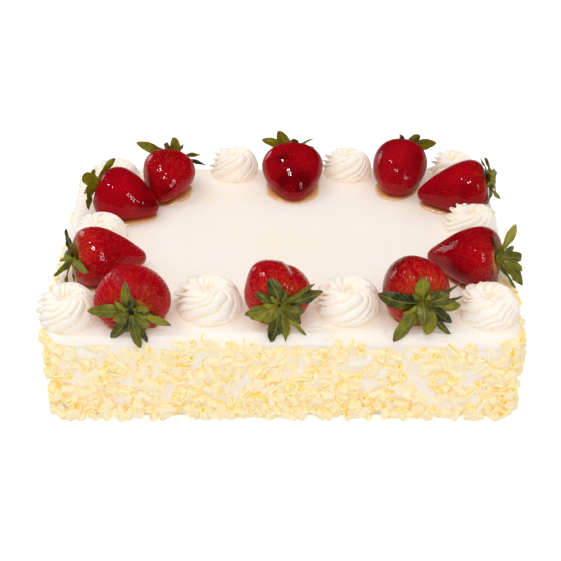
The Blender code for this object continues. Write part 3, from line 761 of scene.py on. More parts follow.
fruit = {
    "rings": 112, "sides": 180,
    "dimple": 3.0, "dimpleReach": 0.42,  # hollow round the stem, and its share of the radius
    "rest": 0.35,  # air under the flat spot it lies on
    "pitReach": 0.95,  # radius of the hollow round a seed
    "lump": 0.5, "lumpSize": 14.0, "lobeReach": 0.28,  # its noise, and how far along it a lobe reaches
    "rowGap": 0.82, "seatGap": 1.05,  # gaps between rows of seeds and within one, of the berry's own
    "scatter": (0.16, 0.35),  # how unevenly seeds sit: in gaps along a row, in mm across it
    "seed": (0.50, 0.31, 0.20),  # half length, half width and half height of a seed
    "seedGrid": (4, 5),  # its rings and sides
    # Shares of the way from the stem over which pale shoulders, streaks and neck fade out
    "shoulder": (0.06, 0.33), "streaks": (0.35, 0.8), "neck": (0.05, 0.12),
    "husks": ((0.45, 0.95), (0.0, 0.25)),  # tones of golden seeds and of dark ones
    "dice": 31,
}


# A berry's own axes: side, up and along, from its stem end to its tip
def berryAxes(spec):
    stem = np.array(spec["stem"], float) + (0, 0, cake["height"])
    tip = np.array(spec["tip"], float) + (0, 0, cake["height"])
    along = unit(tip - stem)
    side = unit(np.cross((0, 0, 1), along))
    return stem, np.stack([side, np.cross(along, side), along]), float(np.linalg.norm(tip - stem))


# Radius and height of the turned profile: sin^blunt * (1 + taper cos), dimpled at the stem
def berryProfile(spec, phi):
    fine = np.linspace(0.001, math.pi - 0.001, 400)
    widest = (np.sin(fine) ** spec["blunt"] * (1 + spec["taper"] * np.cos(fine))).max()
    share = np.sin(phi).clip(0) ** spec["blunt"] * (1 + spec["taper"] * np.cos(phi)) / widest
    length = berryAxes(spec)[2]
    z = length * (1 - np.cos(phi)) / 2
    z = z + fruit["dimple"] * np.exp(-(share / fruit["dimpleReach"]) ** 2) * (phi < math.pi / 2)
    return share * spec["width"] / 2, z


# Surface of a berry: the profile turned round, squashed, bent and cleft, then moved out from its axis by
# noise and by bell-shaped lobes
def berrySurface(spec, phi, around):
    stem, axes, length = berryAxes(spec)
    radius, z = berryProfile(spec, phi)
    lobe = spec["cleft"] * (1 - np.cos(phi)) / 2
    radius = radius * (1 + lobe * np.cos(2 * around))
    s = z / length
    x = radius * np.cos(around)
    y = radius * spec["flat"] * np.sin(around) + spec["bend"] * 4 * s * (1 - s)
    local = np.stack(np.broadcast_arrays(x, y, z), -1)
    world = stem + local @ axes
    lump = fruit["lump"] * softNoise(world, fruit["lumpSize"], 40 + int(spec["width"]))
    for angle, spread, share, swell in spec["lobes"]:
        away = (np.degrees(around) - angle + 180) % 360 - 180
        down = (phi / math.pi - share) / fruit["lobeReach"]
        lump = lump + swell * np.exp(-(away / spread) ** 2 - down ** 2)
    ease = np.sin(phi).clip(0) ** 0.5
    return world + (lump * ease)[..., None] * unit(world - stem - local[..., 2:] * axes[2])


# Outward normals of a berry at some places, from small steps along both parameters
def berryNormals(spec, phi, around, step=0.02):
    down = berrySurface(spec, phi + step, around) - berrySurface(spec, phi - step, around)
    across = berrySurface(spec, phi, around + step) - berrySurface(spec, phi, around - step)
    return unit(np.cross(across, down))


# Seed places: rows an even arc apart from the shoulder to the tip, each row set round by its radius
def seedPlaces(spec, dice):
    phi = np.linspace(0, math.pi, 600)
    radius, z = berryProfile(spec, phi)
    arc = np.append(0, np.cumsum(np.hypot(np.diff(radius), np.diff(z))))
    aside, across = fruit["scatter"]
    places = []
    for index, at in enumerate(np.arange(arc[60], arc[-1] - 1.2, spec["gap"] * fruit["rowGap"])):
        ring = float(np.interp(at, arc, radius))
        count = max(3, int(round(tau * ring / (spec["gap"] * fruit["seatGap"]))))
        turn = (np.arange(count) + 0.5 * (index % 2) + dice.uniform(-aside, aside, count)) * tau / count
        row = np.interp(at + dice.uniform(-across, across, count), arc, phi)
        places.append(np.stack([row, turn + 0.13 * index], -1))
    return np.concatenate(places)


# How far a set of points is from the nearest seed, in slices to keep the arrays small
def nearestSeed(points, seeds):
    flat = points.reshape(-1, 3)
    best = [np.sqrt(((part[:, None] - seeds[None]) ** 2).sum(-1).min(1)) for part in np.array_split(flat, 24)]
    return np.concatenate(best).reshape(points.shape[:-1])


# A berry: its surface with a bell-shaped pit pressed in round each seed, flat where it rests, and the fields
# of its skin by the way from stem to tip. Gives the place, normal, tone and direction of the seeds that show.
def makeBerry(number, spec, dice):
    rows, sides = fruit["rings"], fruit["sides"]
    phi = math.pi * (np.arange(1, rows) / rows)[:, None]
    around = roundAngles(sides)[None]
    points = berrySurface(spec, phi, around)
    spots = seedPlaces(spec, dice)
    seeds = berrySurface(spec, spots[:, 0], spots[:, 1])
    seedNormals = berryNormals(spec, spots[:, 0], spots[:, 1])
    pit = np.exp(-(nearestSeed(points, seeds) / fruit["pitReach"]) ** 2)
    points = points - gridNormals(points) * (spec["pit"] * pit)[..., None]
    ends = berrySurface(spec, np.array([0.0001, math.pi - 0.0001]), np.zeros(2))
    flat, faces = closedGrid(points, *ends)
    floor = cake["height"] + fruit["rest"]
    flat[:, 2] = np.maximum(flat[:, 2], floor)
    points[..., 2] = np.maximum(points[..., 2], floor)
    way = np.broadcast_to(phi / math.pi, points.shape[:-1])
    streak = softNoise(turned(9, around, phi * 1.5), 0.55, 50 + number)
    # The pit field paints shade in the seed hollows
    fields = {"pit": pit, "shoulder": spec["pale"] * (1 - ramp(way + 0.10 * streak, *fruit["shoulder"])),
              "ripe": spec["ripe"] + 0.4 * softNoise(points, 15, 60 + number),
              "flesh": spec["rough"] * (1 - ramp(way, *fruit["streaks"])),
              "neck": 1 - ramp(way + 0.03 * streak, *fruit["neck"])}
    fields = {key: np.append(value.ravel(), value.ravel()[[0, -1]]) for key, value in fields.items()}
    place(putMesh(f"fruit_{number}", flat, faces, berrySkin, fields), "berry", f"berry_{number}")
    shown = seeds[:, 2] > floor + 1
    golden, dark = fruit["husks"]
    count = len(seeds)
    tone = np.where(dice.random(count) < spec["gold"], dice.uniform(*golden, count),
                    dice.uniform(*dark, count))
    sunk = seeds - seedNormals * spec["pit"] * 0.8
    return sunk[shown], seedNormals[shown], tone[shown], berryAxes(spec)[1][2]


# Seeds: small teardrops pointing to the tip, one low-sided shape turned to each place
def makeSeeds(sets):
    rings, sides = fruit["seedGrid"]
    phi = math.pi * (np.arange(1, rings) / rings)[:, None]
    wide = np.sin(phi) * (1 + 0.3 * np.cos(phi))
    long, broad, tall = fruit["seed"]
    drop = turned(wide, roundAngles(sides)[None], -np.cos(phi)) * (broad, tall, long)
    shape, one = closedGrid(drop, (0, 0, -long), (0, 0, long))
    points, tones = [], []
    for seeds, normals, tone, along in sets:
        forward = unit(along - (normals @ along)[:, None] * normals)
        across = np.cross(normals, forward)
        points.append(posed(shape[None], seeds, across, normals, forward))
        tones.append(np.repeat(tone, len(shape)))
    points = np.concatenate(points)
    faces = [copyFaces(group, len(points), len(shape)) for group in one]
    print("seeds:", len(points))
    tones = {"tone": np.concatenate(tones)}
    return place(putMesh("seeds", points.reshape(-1, 3), faces, seedHusk, tones), "seed")


fruitDice = np.random.default_rng(fruit["dice"])
makeSeeds([makeBerry(number, spec, fruitDice) for number, spec in fruits.items()])
print("berries ripe")


# Piped rosettes

rosettes = {  # centre; width, depth and height; turn of the star in degrees; how far on the piping ends
    1: {"at": (-135.6, 90.1), "size": (39, 39, 16), "turn": 10, "end": 0},
    2: {"at": (-39.5, 102.5), "size": (40, 33, 21.5), "turn": 0, "end": 6},
    3: {"at": (52.0, 102.0), "size": (40.5, 33, 20.5), "turn": 14, "end": 0},
    4: {"at": (137.6, 96.5), "size": (38, 36, 20.5), "turn": 5, "end": 0},
    5: {"at": (-138.0, 6.5), "size": (40, 40, 17.5), "turn": 20, "end": 0},
    6: {"at": (143.0, 21.5), "size": (41, 38, 17), "turn": 8, "end": 0},
    7: {"at": (-148.5, -91.0), "size": (43, 41, 21.5), "turn": 4, "end": 8},
    8: {"at": (-51.9, -81.7), "size": (46, 45, 22), "turn": 8, "end": 0},
    9: {"at": (45.0, -81.7), "size": (46, 45, 21), "turn": 18, "end": -6},
    10: {"at": (142.0, -87.0), "size": (44.5, 43, 18.5), "turn": 12, "end": 4},
}
piping = {
    "ridges": 10,
    "strand": 0.49,  # radius of the star, of the rosette's half width
    "ring": 0.51,  # how far out the nozzle travels
    "hole": (0.02, 0.08),  # where it sets off, in half widths
    "crest": (0.88, 0.95),  # height of the strand, early and late, of the whole height
    "wobble": (0.025, 0.02),  # how much the ring and the crest waver
    "early": (0.75, 0.12),  # size of the star while it sets off, and how much lower the crest is there
    "sweep": (-80.0, 348.0),  # degrees at which the nozzle sets off and ends
    "fold": 0.088,  # depth of the furrows between ridges, of the half width
    "stray": 0.18,  # how unevenly the ridges lie, in radians
    "uneven": 0.13,  # how much the ridges differ in width
    "swirl": 1.15,  # further turn of the ridges from foot to crest, in radians
    "petal": (152.0, 1.5),  # side on which the ridges end in petals, and how much deeper they are there
    "grooveShade": (0.6, 0.7),  # how much painted warm shade lies in the furrows, and in the hole
    "clear": 0.25,  # gap between piping and berries
    "samples": 150, "lift": 30,  # places along the path, and while the nozzle is pulled off
    "columns": 360, "rows": 84,
    "tuck": 0.05,  # how far the foot draws in
}


# Path of the nozzle: a spiral that soon reaches its ring, with the star shrinking as it is pulled off.
# Gives for each sample its x, y, star radius and crest height, in half widths and whole heights.
def nozzlePath(spec, dice):
    walk = np.linspace(0, 1, piping["samples"])
    start, end = piping["sweep"]
    angle = np.radians(start + (end + spec["end"] - start) * walk)
    early, late = piping["crest"]
    onRing = ramp(walk, 0.0, 0.2)
    aside, upward = piping["wobble"]
    thin, lower = piping["early"]
    ring = piping["ring"] + aside * np.sin(angle * 2 + dice.uniform(0, tau))
    crest = early + (late - early) * ramp(walk, 0.45, 1.0) + upward * np.sin(angle * 3 + dice.uniform(0, tau))
    crest = crest - lower * (1 - onRing)
    holeX, holeY = piping["hole"]
    x = holeX * (1 - onRing) + onRing * ring * np.cos(angle)
    y = holeY * (1 - onRing) + onRing * ring * np.sin(angle)
    radius = piping["strand"] * (thin + (1 - thin) * onRing)
    pull = np.linspace(0, 1, piping["lift"] + 1)[1:]
    x = np.append(x, x[-1] + 0.02 * pull)
    y = np.append(y, y[-1] + 0.06 * pull)
    crest = np.append(crest, crest[-1] + (1.0 - crest[-1]) * pull)
    radius = np.append(radius, radius[-1] * (1 - pull) ** 0.85 + 0.01)
    return x, y, radius, crest


# Height of a rosette over a set of places, and the star's angle at which the nozzle left each.
# The strand is the highest of the round domes along the path; the ridge at a place is the point of the
# star that passed over it last, so furrows are copies of the path, shifted by the notches of the star.
def pipedHeight(px, py, path):
    x, y, radius, crest = path
    reached = np.zeros(px.shape, bool)
    star = np.zeros(px.shape)
    height = np.zeros(px.shape)
    for i in range(len(x)):
        dx, dy = px - x[i], py - y[i]
        away = dx * dx + dy * dy
        covered = away < radius[i] ** 2
        star = np.where(covered, np.arctan2(dy, dx), star)
        reached |= covered
        height = np.maximum(height, crest[i] * (1 - away / radius[i] ** 2).clip(0) ** 0.58)
    nearest = np.argmin(np.stack([(px - x[i]) ** 2 + (py - y[i]) ** 2 for i in range(0, len(x), 4)]), 0) * 4
    star = np.where(reached, star, np.arctan2(py - y[nearest], px - x[nearest]))
    return height, star


# Share of the way over a ridge, from 0 in one furrow to 1 in the next
def ridgeShare(star, turn):
    return np.mod(piping["ridges"] * (star - math.radians(turn)) / tau, 1)


# Distance by which points stand outside the cake's rim
def beyondRim(points):
    core = cakeHalf - cake["corner"]
    over = (np.abs(points[..., :2]) - core).clip(0)
    return (np.linalg.norm(over, axis=-1) - cake["corner"]).clip(0)


# Where points sit against a berry: its frame, the angle round it, radius and height along it
def berryPolar(points, spec):
    stem, axes, length = berryAxes(spec)
    local = (points - stem) @ axes.T
    s = (local[..., 2] / length).clip(0, 1)
    y = (local[..., 1] - spec["bend"] * 4 * s * (1 - s)) / spec["flat"]
    return np.arctan2(y, local[..., 0]), np.hypot(local[..., 0], y), local[..., 2]


# Points that are inside a berry, or nearer than the clearance, moved out along its profile's normal
def offBerry(points, spec, clearance):
    stem, axes, length = berryAxes(spec)
    turn, reach, z = berryPolar(points, spec)
    phi = np.linspace(0.02, math.pi - 0.02, 160)
    radius, height = berryProfile(spec, phi)
    lobe = 1 + spec["cleft"] * (1 - np.cos(phi)) / 2 * np.cos(2 * turn)[..., None]
    gapR = reach[..., None] - radius * lobe
    gapZ = z[..., None] - height
    nearest = np.argmin(gapR ** 2 + gapZ ** 2, -1)
    slope = np.stack([np.gradient(height), -np.gradient(radius)], -1)
    normal = unit(slope)[nearest]
    offset = np.take_along_axis(gapR, nearest[..., None], -1)[..., 0] * normal[..., 0] \
        + np.take_along_axis(gapZ, nearest[..., None], -1)[..., 0] * normal[..., 1]
    push = (clearance - offset).clip(0) * (offset > -12)
    newR = reach + push * normal[..., 0]
    newZ = z + push * normal[..., 1]
    s = (newZ / length).clip(0, 1)
    bow = spec["bend"] * 4 * s * (1 - s)
    local = np.stack([newR * np.cos(turn), newR * np.sin(turn) * spec["flat"] + bow, newZ], -1)
    return np.where((push > 0)[..., None], stem + local @ axes, points)


# Points moved clear of every berry
def offBerries(points, clearance):
    for spec in fruits.values():
        points = offBerry(points, spec, clearance)
    return points


# How far the piping reaches at each angle: the last covered place of a probe, smoothed over its neighbours
def pipedOutline(path, around):
    probe = np.linspace(0.3, 1.2, 140)[:, None]
    found, _ = pipedHeight(probe * np.cos(around), probe * np.sin(around), path)
    outline = probe[len(probe) - 1 - np.argmax((found > 0)[::-1], 0), 0]
    return (outline + np.roll(outline, 1) + np.roll(outline, -1)) / 3


# A rosette: the strand's height over a polar grid. The ridges stand out along the normals by a power of a
# sine of the star's angle, which is turned further towards the foot and shaken by noise; on one side they
# rise slowly and break off, like petals. The foot is drawn in, and sinks where it passes the block's rim.
def makeRosette(number, spec):
    path = nozzlePath(spec, np.random.default_rng(70 + number))
    tall = spec["size"][2]
    half = np.array(spec["size"][:2]) / 2
    columns, rows = piping["columns"], piping["rows"]
    around = roundAngles(columns)[None]
    reach = pipedOutline(path, around) * np.sin(math.pi / 2 * np.arange(rows, 0, -1) / rows)[:, None]
    spots = reach[..., None] * np.stack([np.cos(around), np.sin(around)], -1)
    height, star = pipedHeight(spots[..., 0], spots[..., 1], path)
    height[0] = 0.0
    rise = (height * tall)[..., None]
    places = np.concatenate([spots * half, rise], -1) + (0, 0, 30 * number)
    toPeak = np.hypot(spots[..., 0] - path[0][-1], spots[..., 1] - path[1][-1])
    climb = np.where(reach < piping["ring"], 1.0, (height / piping["crest"][0]).clip(0, 1))
    drift = piping["stray"] * softNoise(places, 7, 90) - piping["swirl"] * climb
    star = star + drift * ramp(toPeak, 0.1, 0.5)
    star = star + piping["uneven"] * (np.sin(2 * star + number) + 0.6 * np.sin(3 * star + 2 * number))
    share = ridgeShare(star, spec["turn"])
    side, deeper = piping["petal"]
    petal = ramp(np.cos(around - math.radians(side)), 0.3, 0.9) * ramp(reach, 0.45, 0.8)
    ridge = np.sin(math.pi * share ** 0.8).clip(0) ** 0.65
    ridge = ridge + petal * (share ** 2.2 * ramp(1 - share, 0, 0.12) * 1.4 - ridge)
    furrow = piping["fold"] * half.mean() * (ridge - 0.6) * ramp(toPeak, 0.0, 0.3)
    furrow = furrow * (0.35 + 0.65 * ramp(height, 0, 0.3)) * (1 + deeper * petal)
    tuck = 1 - piping["tuck"] * (1 - ramp(height, 0.0, 0.25))
    points = np.concatenate([spots * half * tuck[..., None], rise], -1)
    points = points + gridNormals(points) * (furrow * (1 + 0.35 * softNoise(places, 9, 91)))[..., None]
    points[..., 2] = np.maximum(points[..., 2], 0) + 0.1
    points += (*spec["at"], cake["height"])
    points[..., 2] -= (beyondRim(points) * 0.5).clip(0, 3) * (1 - ramp(height * tall, 0, 9))
    points = insideBox(offBerries(points, piping["clear"]), 0.2)
    base = np.array([*spec["at"], cake["height"] + 0.1])
    middle = pipedHeight(np.zeros(1), np.zeros(1), path)[0][0] * tall
    flat, faces = closedGrid(points, base, base + (0, 0, middle))
    # Painted warm shade, butter yellow, in the furrows and in the hole
    hollow = 1 - ramp(np.hypot(spots[..., 0] - 0.03, spots[..., 1] - 0.04), 0.03, 0.22)
    inFurrows, inHole = piping["grooveShade"]
    tint = np.append(np.maximum((1 - ridge) ** 2 * inFurrows, hollow * inHole).ravel(), (0, 0.5))
    piece = putMesh(f"piped_{number}", flat, faces, cream, {"grooveShade": tint})
    return place(piece, "cream", f"rosette_{number}")


for number, spec in rosettes.items():
    makeRosette(number, spec)
print("rosettes piped")


# Green caps

# Sepals of each cap: angle round the stem, length and lift; some with width, sideways bend, fold and twist
caps = {
    1: ((46, 26, -8), (90, 17, 30), (126, 24, 26), (166, 22, 23), (210, 17, 15), (249, 20, 5), (300, 16, 15),
        (350, 18, 15)),
    2: ((12, 24, 14, 5.5, 0, 30, 20), (45, 13, 25), (84, 20, 8, 9.5, 2, 30, 60),
        (105, 17, 16, 8, -3, 35, -50), (161, 32, 5, 9.0, 4, 25, 30), (215, 16, 25), (270, 15, 30),
        (351, 27, 4, 5.5, -3, 30, 20)),
    3: ((5, 20, 20), (38, 23, 13), (80, 18, 5), (120, 25, 17), (150, 28, 12), (200, 18, 20), (255, 16, 30),
        (310, 16, 30)),
    4: ((16, 28, 13), (48, 20, 14), (101, 18, 2), (151, 16, 5), (205, 15, 25), (265, 15, 30), (330, 22, 5)),
    5: ((60, 20, 5), (98, 21, -2), (147, 21, 14), (180, 20, 26), (214, 22, 25), (244, 20, 12), (290, 16, 20),
        (330, 20, -3)),
    6: ((83, 21, 1, 6, 0, 30, 20), (137, 27, 20, 7.5, 2, 20, -60), (186, 21, 22, 6.5, 2, 30, 20),
        (210, 28, 36, 8.5, 2, 25, 20), (236, 27, 38, 6.5, 0, 25, 0), (260, 30, 33, 10.5, 2, 20, 10),
        (288, 24, 24, 7, 0, 30, 0)),
    7: ((11, 31, -3, 12, 4, 20, 15), (88, 20, 3, 12, 0, 40, 10), (132, 15, 14, 6, 4, 25, 20),
        (157, 31, 4, 4.2, -2, 40, 30), (164, 18, 12, 11, -3, 30, -20), (176, 28, 6, 4.6, 1, 40, 10),
        (190, 28, 7, 9.5, 3, 20, 0), (219, 27, 14, 8.5, 2, 35, 20), (236, 31, 8, 5.0, -3, 40, 0),
        (260, 22, 14, 12, 6, 25, 40), (316, 33, 8, 12.5, -5, 20, -15)),
    8: ((36, 19, 5, 6.0, -3, 20, 30), (82, 23, 2, 10.5, -8, 25, 10), (145, 29, -3, 4.6, 1, 40, 30),
        (163, 31, 2, 11, 2, 25, 15), (192, 19, 18, 8.5, 0, 30, -20), (220, 20, 14, 10, 2, 45, 20),
        (232, 28, 9, 4.6, -3, 40, 20), (258, 25, 12, 9.0, 2, 30, 10), (280, 26, 13, 10.5, 3, 30, -20),
        (318, 16, 12, 7.5, 0, 30, 20), (333, 22, 8, 7.5, 2, 30, 20), (350, 24, 6, 8.0, -2, 25, 10)),
    9: ((10, 29, 3, 9.5, -2, 30, 15), (78, 23, 0, 7.0, 5, 40, 10), (100, 13, 16, 6.5, 0, 40, 20),
        (150, 13, 18, 6.5, 5, 40, 0), (180, 17, 14, 6.0, 6, 40, 30), (196, 28, 6, 7.5, 2, 35, 20),
        (222, 17, 14, 8.5, 2, 30, 20), (244, 25, 12, 5.2, 2, 40, 0), (262, 26, 13, 7.5, -3, 35, 0),
        (282, 16, 16, 8.5, 0, 25, -20), (305, 25, 11, 9.0, 2, 15, -10), (340, 14, 20, 8.5, 0, 40, 0)),
    10: ((38, 21, 12), (100, 16, 15), (175, 24, -8), (220, 20, 6), (252, 23, 13), (288, 23, 22),
         (329, 21, 15)),
}
flaps = {7: (70, 282, 15, 40, 9.5, 2, 20, 0)}  # rooted at one angle, hanging over the hub to another
cap = {
    "hub": 4.4, "rise": 1.6,  # radius of the hub, and how far it stands over the dimple
    "front": (7, 8, 9),  # berries whose caps turn to the front
    "bow": (3.0, 5.5),  # how far a sepal arches off the shoulder, on the others and on these
    "width": (0.26, 0.38), "bend": (-3.5, 3.5), "fold": (20, 60), "twist": (-40, 50),  # where none are listed
    "wave": 0.9, "waves": (1.2, 2.2),  # depth of the ripple of the margins, and how many waves it has
    "teeth": (5, 0.05),  # teeth of the margins, and their depth
    "droop": (-2.5, 5.0),  # how far tips curl up or down
    "half": 0.22,  # half thickness of a sepal
    "clear": (0.5, 0.4, 0.5),  # gaps to berries, rosettes and block
    "lap": 0.4,  # how much lower each sepal of three starts than the one before
    "stations": 26, "strips": 12,
    "gap": 34, "bract": 0.55,  # degrees between sepals past which a bract grows, and its length
    "fresh": {1: 0.5, 3: 0.55, 4: 0.1, 6: 0.15, 8: 0.15},  # caps with paler leaves
    "dice": 51,
}


# One sepal in its berry's frame. The spine is a quadratic curve from hub to tip that bends aside and droops.
# The blade is as wide as a leaf, a product of powers of the way along, with a saw-toothed edge; it is folded
# like a V at the rib, turned about the spine towards the tip, and rippled along its margins.
def sepalGrid(rooted, angle, length, lift, broad, bend, fold, twist, arch, dice):
    a, rise, back = math.radians(angle), math.radians(lift), math.radians(rooted)
    out = np.array([math.cos(a), math.sin(a), 0.0])
    across = np.array([-math.sin(a), math.cos(a), 0.0])
    foot = np.array([0, 0, fruit["dimple"] - cap["rise"]])
    root = np.array([math.cos(back), math.sin(back), 0.0]) * cap["hub"] * 0.45 + foot
    tip = out * length * math.cos(rise) + foot - (0, 0, length * math.sin(rise))
    bow = root * 0.6 + tip * 0.4 - (0, 0, arch * dice.uniform(0.7, 1.3) + (3.0 if rooted != angle else 0.0))
    u = np.linspace(0, 1, cap["stations"])[:, None, None]
    v = np.linspace(-1, 1, cap["strips"] + 1)[None, :, None]
    spine = (1 - u) ** 2 * root + 2 * u * (1 - u) * bow + u ** 2 * tip
    spine = spine + across * bend * (u ** 2 - 0.5 * u)
    spine = spine + np.array([0, 0, 1.0]) * dice.uniform(*cap["droop"]) * u ** 3
    forward = unit(np.gradient(spine[:, 0], axis=0))[:, None]
    side = unit(across - (forward @ across)[..., None] * forward)
    face = np.cross(forward, side)
    turn = np.radians(twist) * u
    side, face = side * np.cos(turn) + face * np.sin(turn), face * np.cos(turn) - side * np.sin(turn)
    leaf = (u + 0.1) ** 0.8 * (1 - u) ** 0.66
    teeth, bite = cap["teeth"]
    serrate = 1 + bite * np.sin(tau * (teeth * u + dice.random())) * np.sign(v)
    half = broad / 2 * leaf / leaf.max() * serrate + 0.12
    slope = np.radians(fold * 0.75) * (1 - 0.4 * u)
    bent = np.sqrt(v ** 2 + 0.02) - 0.14
    ripple = cap["wave"] * np.sin(tau * (dice.uniform(*cap["waves"]) * u + dice.random()) + v * 1.5) * v ** 2
    lifted = bent * half * np.sin(slope) + ripple * np.sin(math.pi * u)
    return spine + side * v * half * np.cos(slope) + face * lifted


# A sheet of points made solid: offset both ways along its normals, thin at the rim, with walls between
def thicken(points, half):
    rows, columns = points.shape[:2]
    u = np.linspace(0, 1, rows)[:, None]
    v = np.linspace(-1, 1, columns)[None]
    body = half * (0.35 + 0.65 * (1 - v ** 4) * (1 - u ** 6))
    offset = gridNormals(points, closed=False) * body[..., None]
    index = np.arange(rows * columns).reshape(rows, columns)
    loop = np.concatenate([index[0, :-1], index[:-1, -1], index[-1, :0:-1], index[:0:-1, 0]])
    following = np.roll(loop, -1)
    count = rows * columns
    top = gridFaces(rows, columns, closed=False)
    walls = np.stack([following, loop, loop + count, following + count], -1)
    solid = np.concatenate([(points + offset).reshape(-1, 3), (points - offset).reshape(-1, 3)])
    return solid, [top, top[:, ::-1] + count, walls]


# Points moved out of the domes of the rosettes, along the line from each middle
def offRosettes(points, clearance):
    for spec in rosettes.values():
        middle = np.array([*spec["at"], cake["height"]])
        size = np.array(spec["size"]) * (0.5, 0.5, 0.92) + clearance
        scaled = (points - middle) / size
        depth = np.linalg.norm(scaled, axis=-1, keepdims=True)
        points = np.where((depth < 1) & (depth > 0.3), middle + scaled / depth * size, points)
    return points


# Points moved out of the block: up through the top, or out through the nearest wall
def offCake(points, clearance):
    inner = cakeHalf - np.abs(points[..., :2])
    wall = inner.min(-1) + clearance
    depth = cake["height"] + clearance - points[..., 2]
    inside = (wall > 0) & (depth > 0)
    up = inside & (depth <= wall * 1.5)
    moved = points.copy()
    moved[..., 2] = np.where(up, cake["height"] + clearance, points[..., 2])
    for axis in (0, 1):
        sideways = inside & ~up & (inner[..., axis] <= inner[..., 1 - axis])
        edge = np.sign(points[..., axis]) * (cakeHalf[axis] + clearance)
        moved[..., axis] = np.where(sideways, edge, moved[..., axis])
    return moved


# A cap: the listed sepals, a bract in each wide gap and a flap, each moved clear of berries, rosettes and
# block, smoothed along its length, thickened and joined to the hub
def makeCap(number, sepals):
    spec = fruits[number]
    dice = np.random.default_rng(cap["dice"] + number)
    stem, axes, _ = berryAxes(spec)
    leaves = []
    for angle, length, lift, *shape in sorted(sepals):
        broad, bend, fold, twist = shape or (dice.uniform(*cap["width"]) * length, dice.uniform(*cap["bend"]),
                                             dice.uniform(*cap["fold"]), dice.uniform(*cap["twist"]))
        fold = fold * (1 if shape else dice.choice((-0.5, 1)))
        leaves.append((angle, angle, length, lift, broad, bend, fold, twist))
    following = leaves[1:] + [(0, leaves[0][1] + 360, *leaves[0][2:])]
    for (_, a, length, lift, *_), (_, b, nextLength, nextLift, *_) in zip(list(leaves), following):
        if b - a > cap["gap"]:
            middle = (a + b) / 2
            small = (length + nextLength) / 2 * cap["bract"]
            leaves.append((middle, middle, small, max(lift, nextLift) + 10, 3.5, 0, 30, 0))
    if number in flaps:
        leaves.append(flaps[number])
    parts = []
    toBerry, toRosette, toCake = cap["clear"]
    for order, leaf in enumerate(leaves):
        grid = sepalGrid(*leaf, cap["bow"][number in cap["front"]], dice)
        grid = grid - np.array([0, 0, cap["lap"]]) * (order % 3)
        world = offCake(offRosettes(offBerries(stem + grid @ axes, toBerry), toRosette), toCake)
        world[1:-1] = (world[:-2] + 2 * world[1:-1] + world[2:]) / 4
        solid, faces = thicken(insideBox(world, 0.4), cap["half"])
        rows, columns = world.shape[:2]
        along = np.repeat(np.linspace(0, 1, rows), columns)
        across = np.tile(np.abs(np.linspace(-1, 1, columns)), rows)
        fields = {"along": np.tile(along, 2), "across": np.tile(across, 2), "hollow": 0.0,
                  "tone": dice.random() + cap["fresh"].get(number, 0), "dry": float(dice.random() < 0.5)}
        parts.append({"points": solid, "faces": faces, "fields": fields})
    points, faces, fields = gather([*parts, capHub(number, stem, axes)])
    piece = putMesh(f"cap_{number}", points, faces, leafGreen, fields, sharp=70)
    return place(piece, "leaf", f"calyx_{number}")


hub = {
    "radius": (0.01, 0.6, 1.1, 1.9, 3.0, 4.4, 3.0, 0.01),
    "height": (-0.2, -0.3, -1.0, -1.3, -1.0, -0.2, 0.9, 1.1),
    "hollow": (1, 1, 0.7, 0.1, 0, 0, 0, 0),
    "sides": 30, "ribs": 9, "ribDepth": 0.10,
    "torn": {9: 1.8},  # caps whose stem left a wide pit, and how wide
}


# The hub: a turned cup with a pit where the stem came away, painted dark as shade in its hollow, its radius
# ribbed by a cosine
def capHub(number, stem, axes):
    radius, height, hollow = (np.array(hub[key]) for key in ("radius", "height", "hollow"))
    torn = hub["torn"].get(number, 1.0)
    hollow = (hollow * torn ** 3).clip(0, 1)
    z = fruit["dimple"] - cap["rise"] + height
    turn = roundAngles(hub["sides"])
    ribs = hub["ribDepth"] * np.cos(hub["ribs"] * turn) * (1 - hollow[:, None])
    ribbed = (radius * torn)[:, None] * (1 + ribs)
    flat, faces = closedGrid(turned(ribbed, turn, z[:, None]), (0, 0, z[0]), (0, 0, z[-1]))
    # Painted shade in the hub's hollow
    dark = np.append(np.repeat(hollow, hub["sides"]), (1, 0))
    fields = {"along": 0.05, "across": 0.5, "tone": 0.5, "dry": 0.0, "hollow": dark}
    return {"points": stem + flat @ axes, "faces": faces, "fields": fields}


for number, sepals in caps.items():
    makeCap(number, sepals)
print("caps grown")


# Glaze that has run down onto the cream

# Spills of each berry: direction, how far beyond the berry and how wide, in degrees
pools = {
    1: ((-75, 2.6, 35), (-35, 1.6, 25)), 2: ((-30, 5.0, 32), (10, 2.5, 25)),
    3: ((205, 4.5, 30), (-25, 4.5, 30), (-90, 0.8, 40)), 4: ((205, 3.2, 35), (250, 2.0, 25), (-40, 1.0, 25)),
    5: ((215, 2.2, 35),), 6: ((150, 1.6, 50),), 7: ((165, 1.6, 40), (-90, -2.0, 70)),
    8: ((180, 1.6, 40), (-90, -2.0, 70)), 9: ((20, 2.0, 40), (-90, -2.0, 60)), 10: ((-10, 2.5, 35),),
}
pool = {
    "columns": 96, "rows": 9,
    "touch": 3.2,  # height over the cream up to which the berry's outline counts
    "edge": 0.5, "height": 1.3,  # how far the glaze spreads all round, and how thick a spill is
    "sunk": 0.6,  # how far its underside lies in the cream
    "shake": (0.25, 0.4),  # how uneven the spills are, and the size of that noise on a circle of radius one
    "thick": (0.3, 2.5),  # reach of a spill at which it starts to stand up, and at which it is full
    "tint": 1.6,  # depth of colour under the berry
}


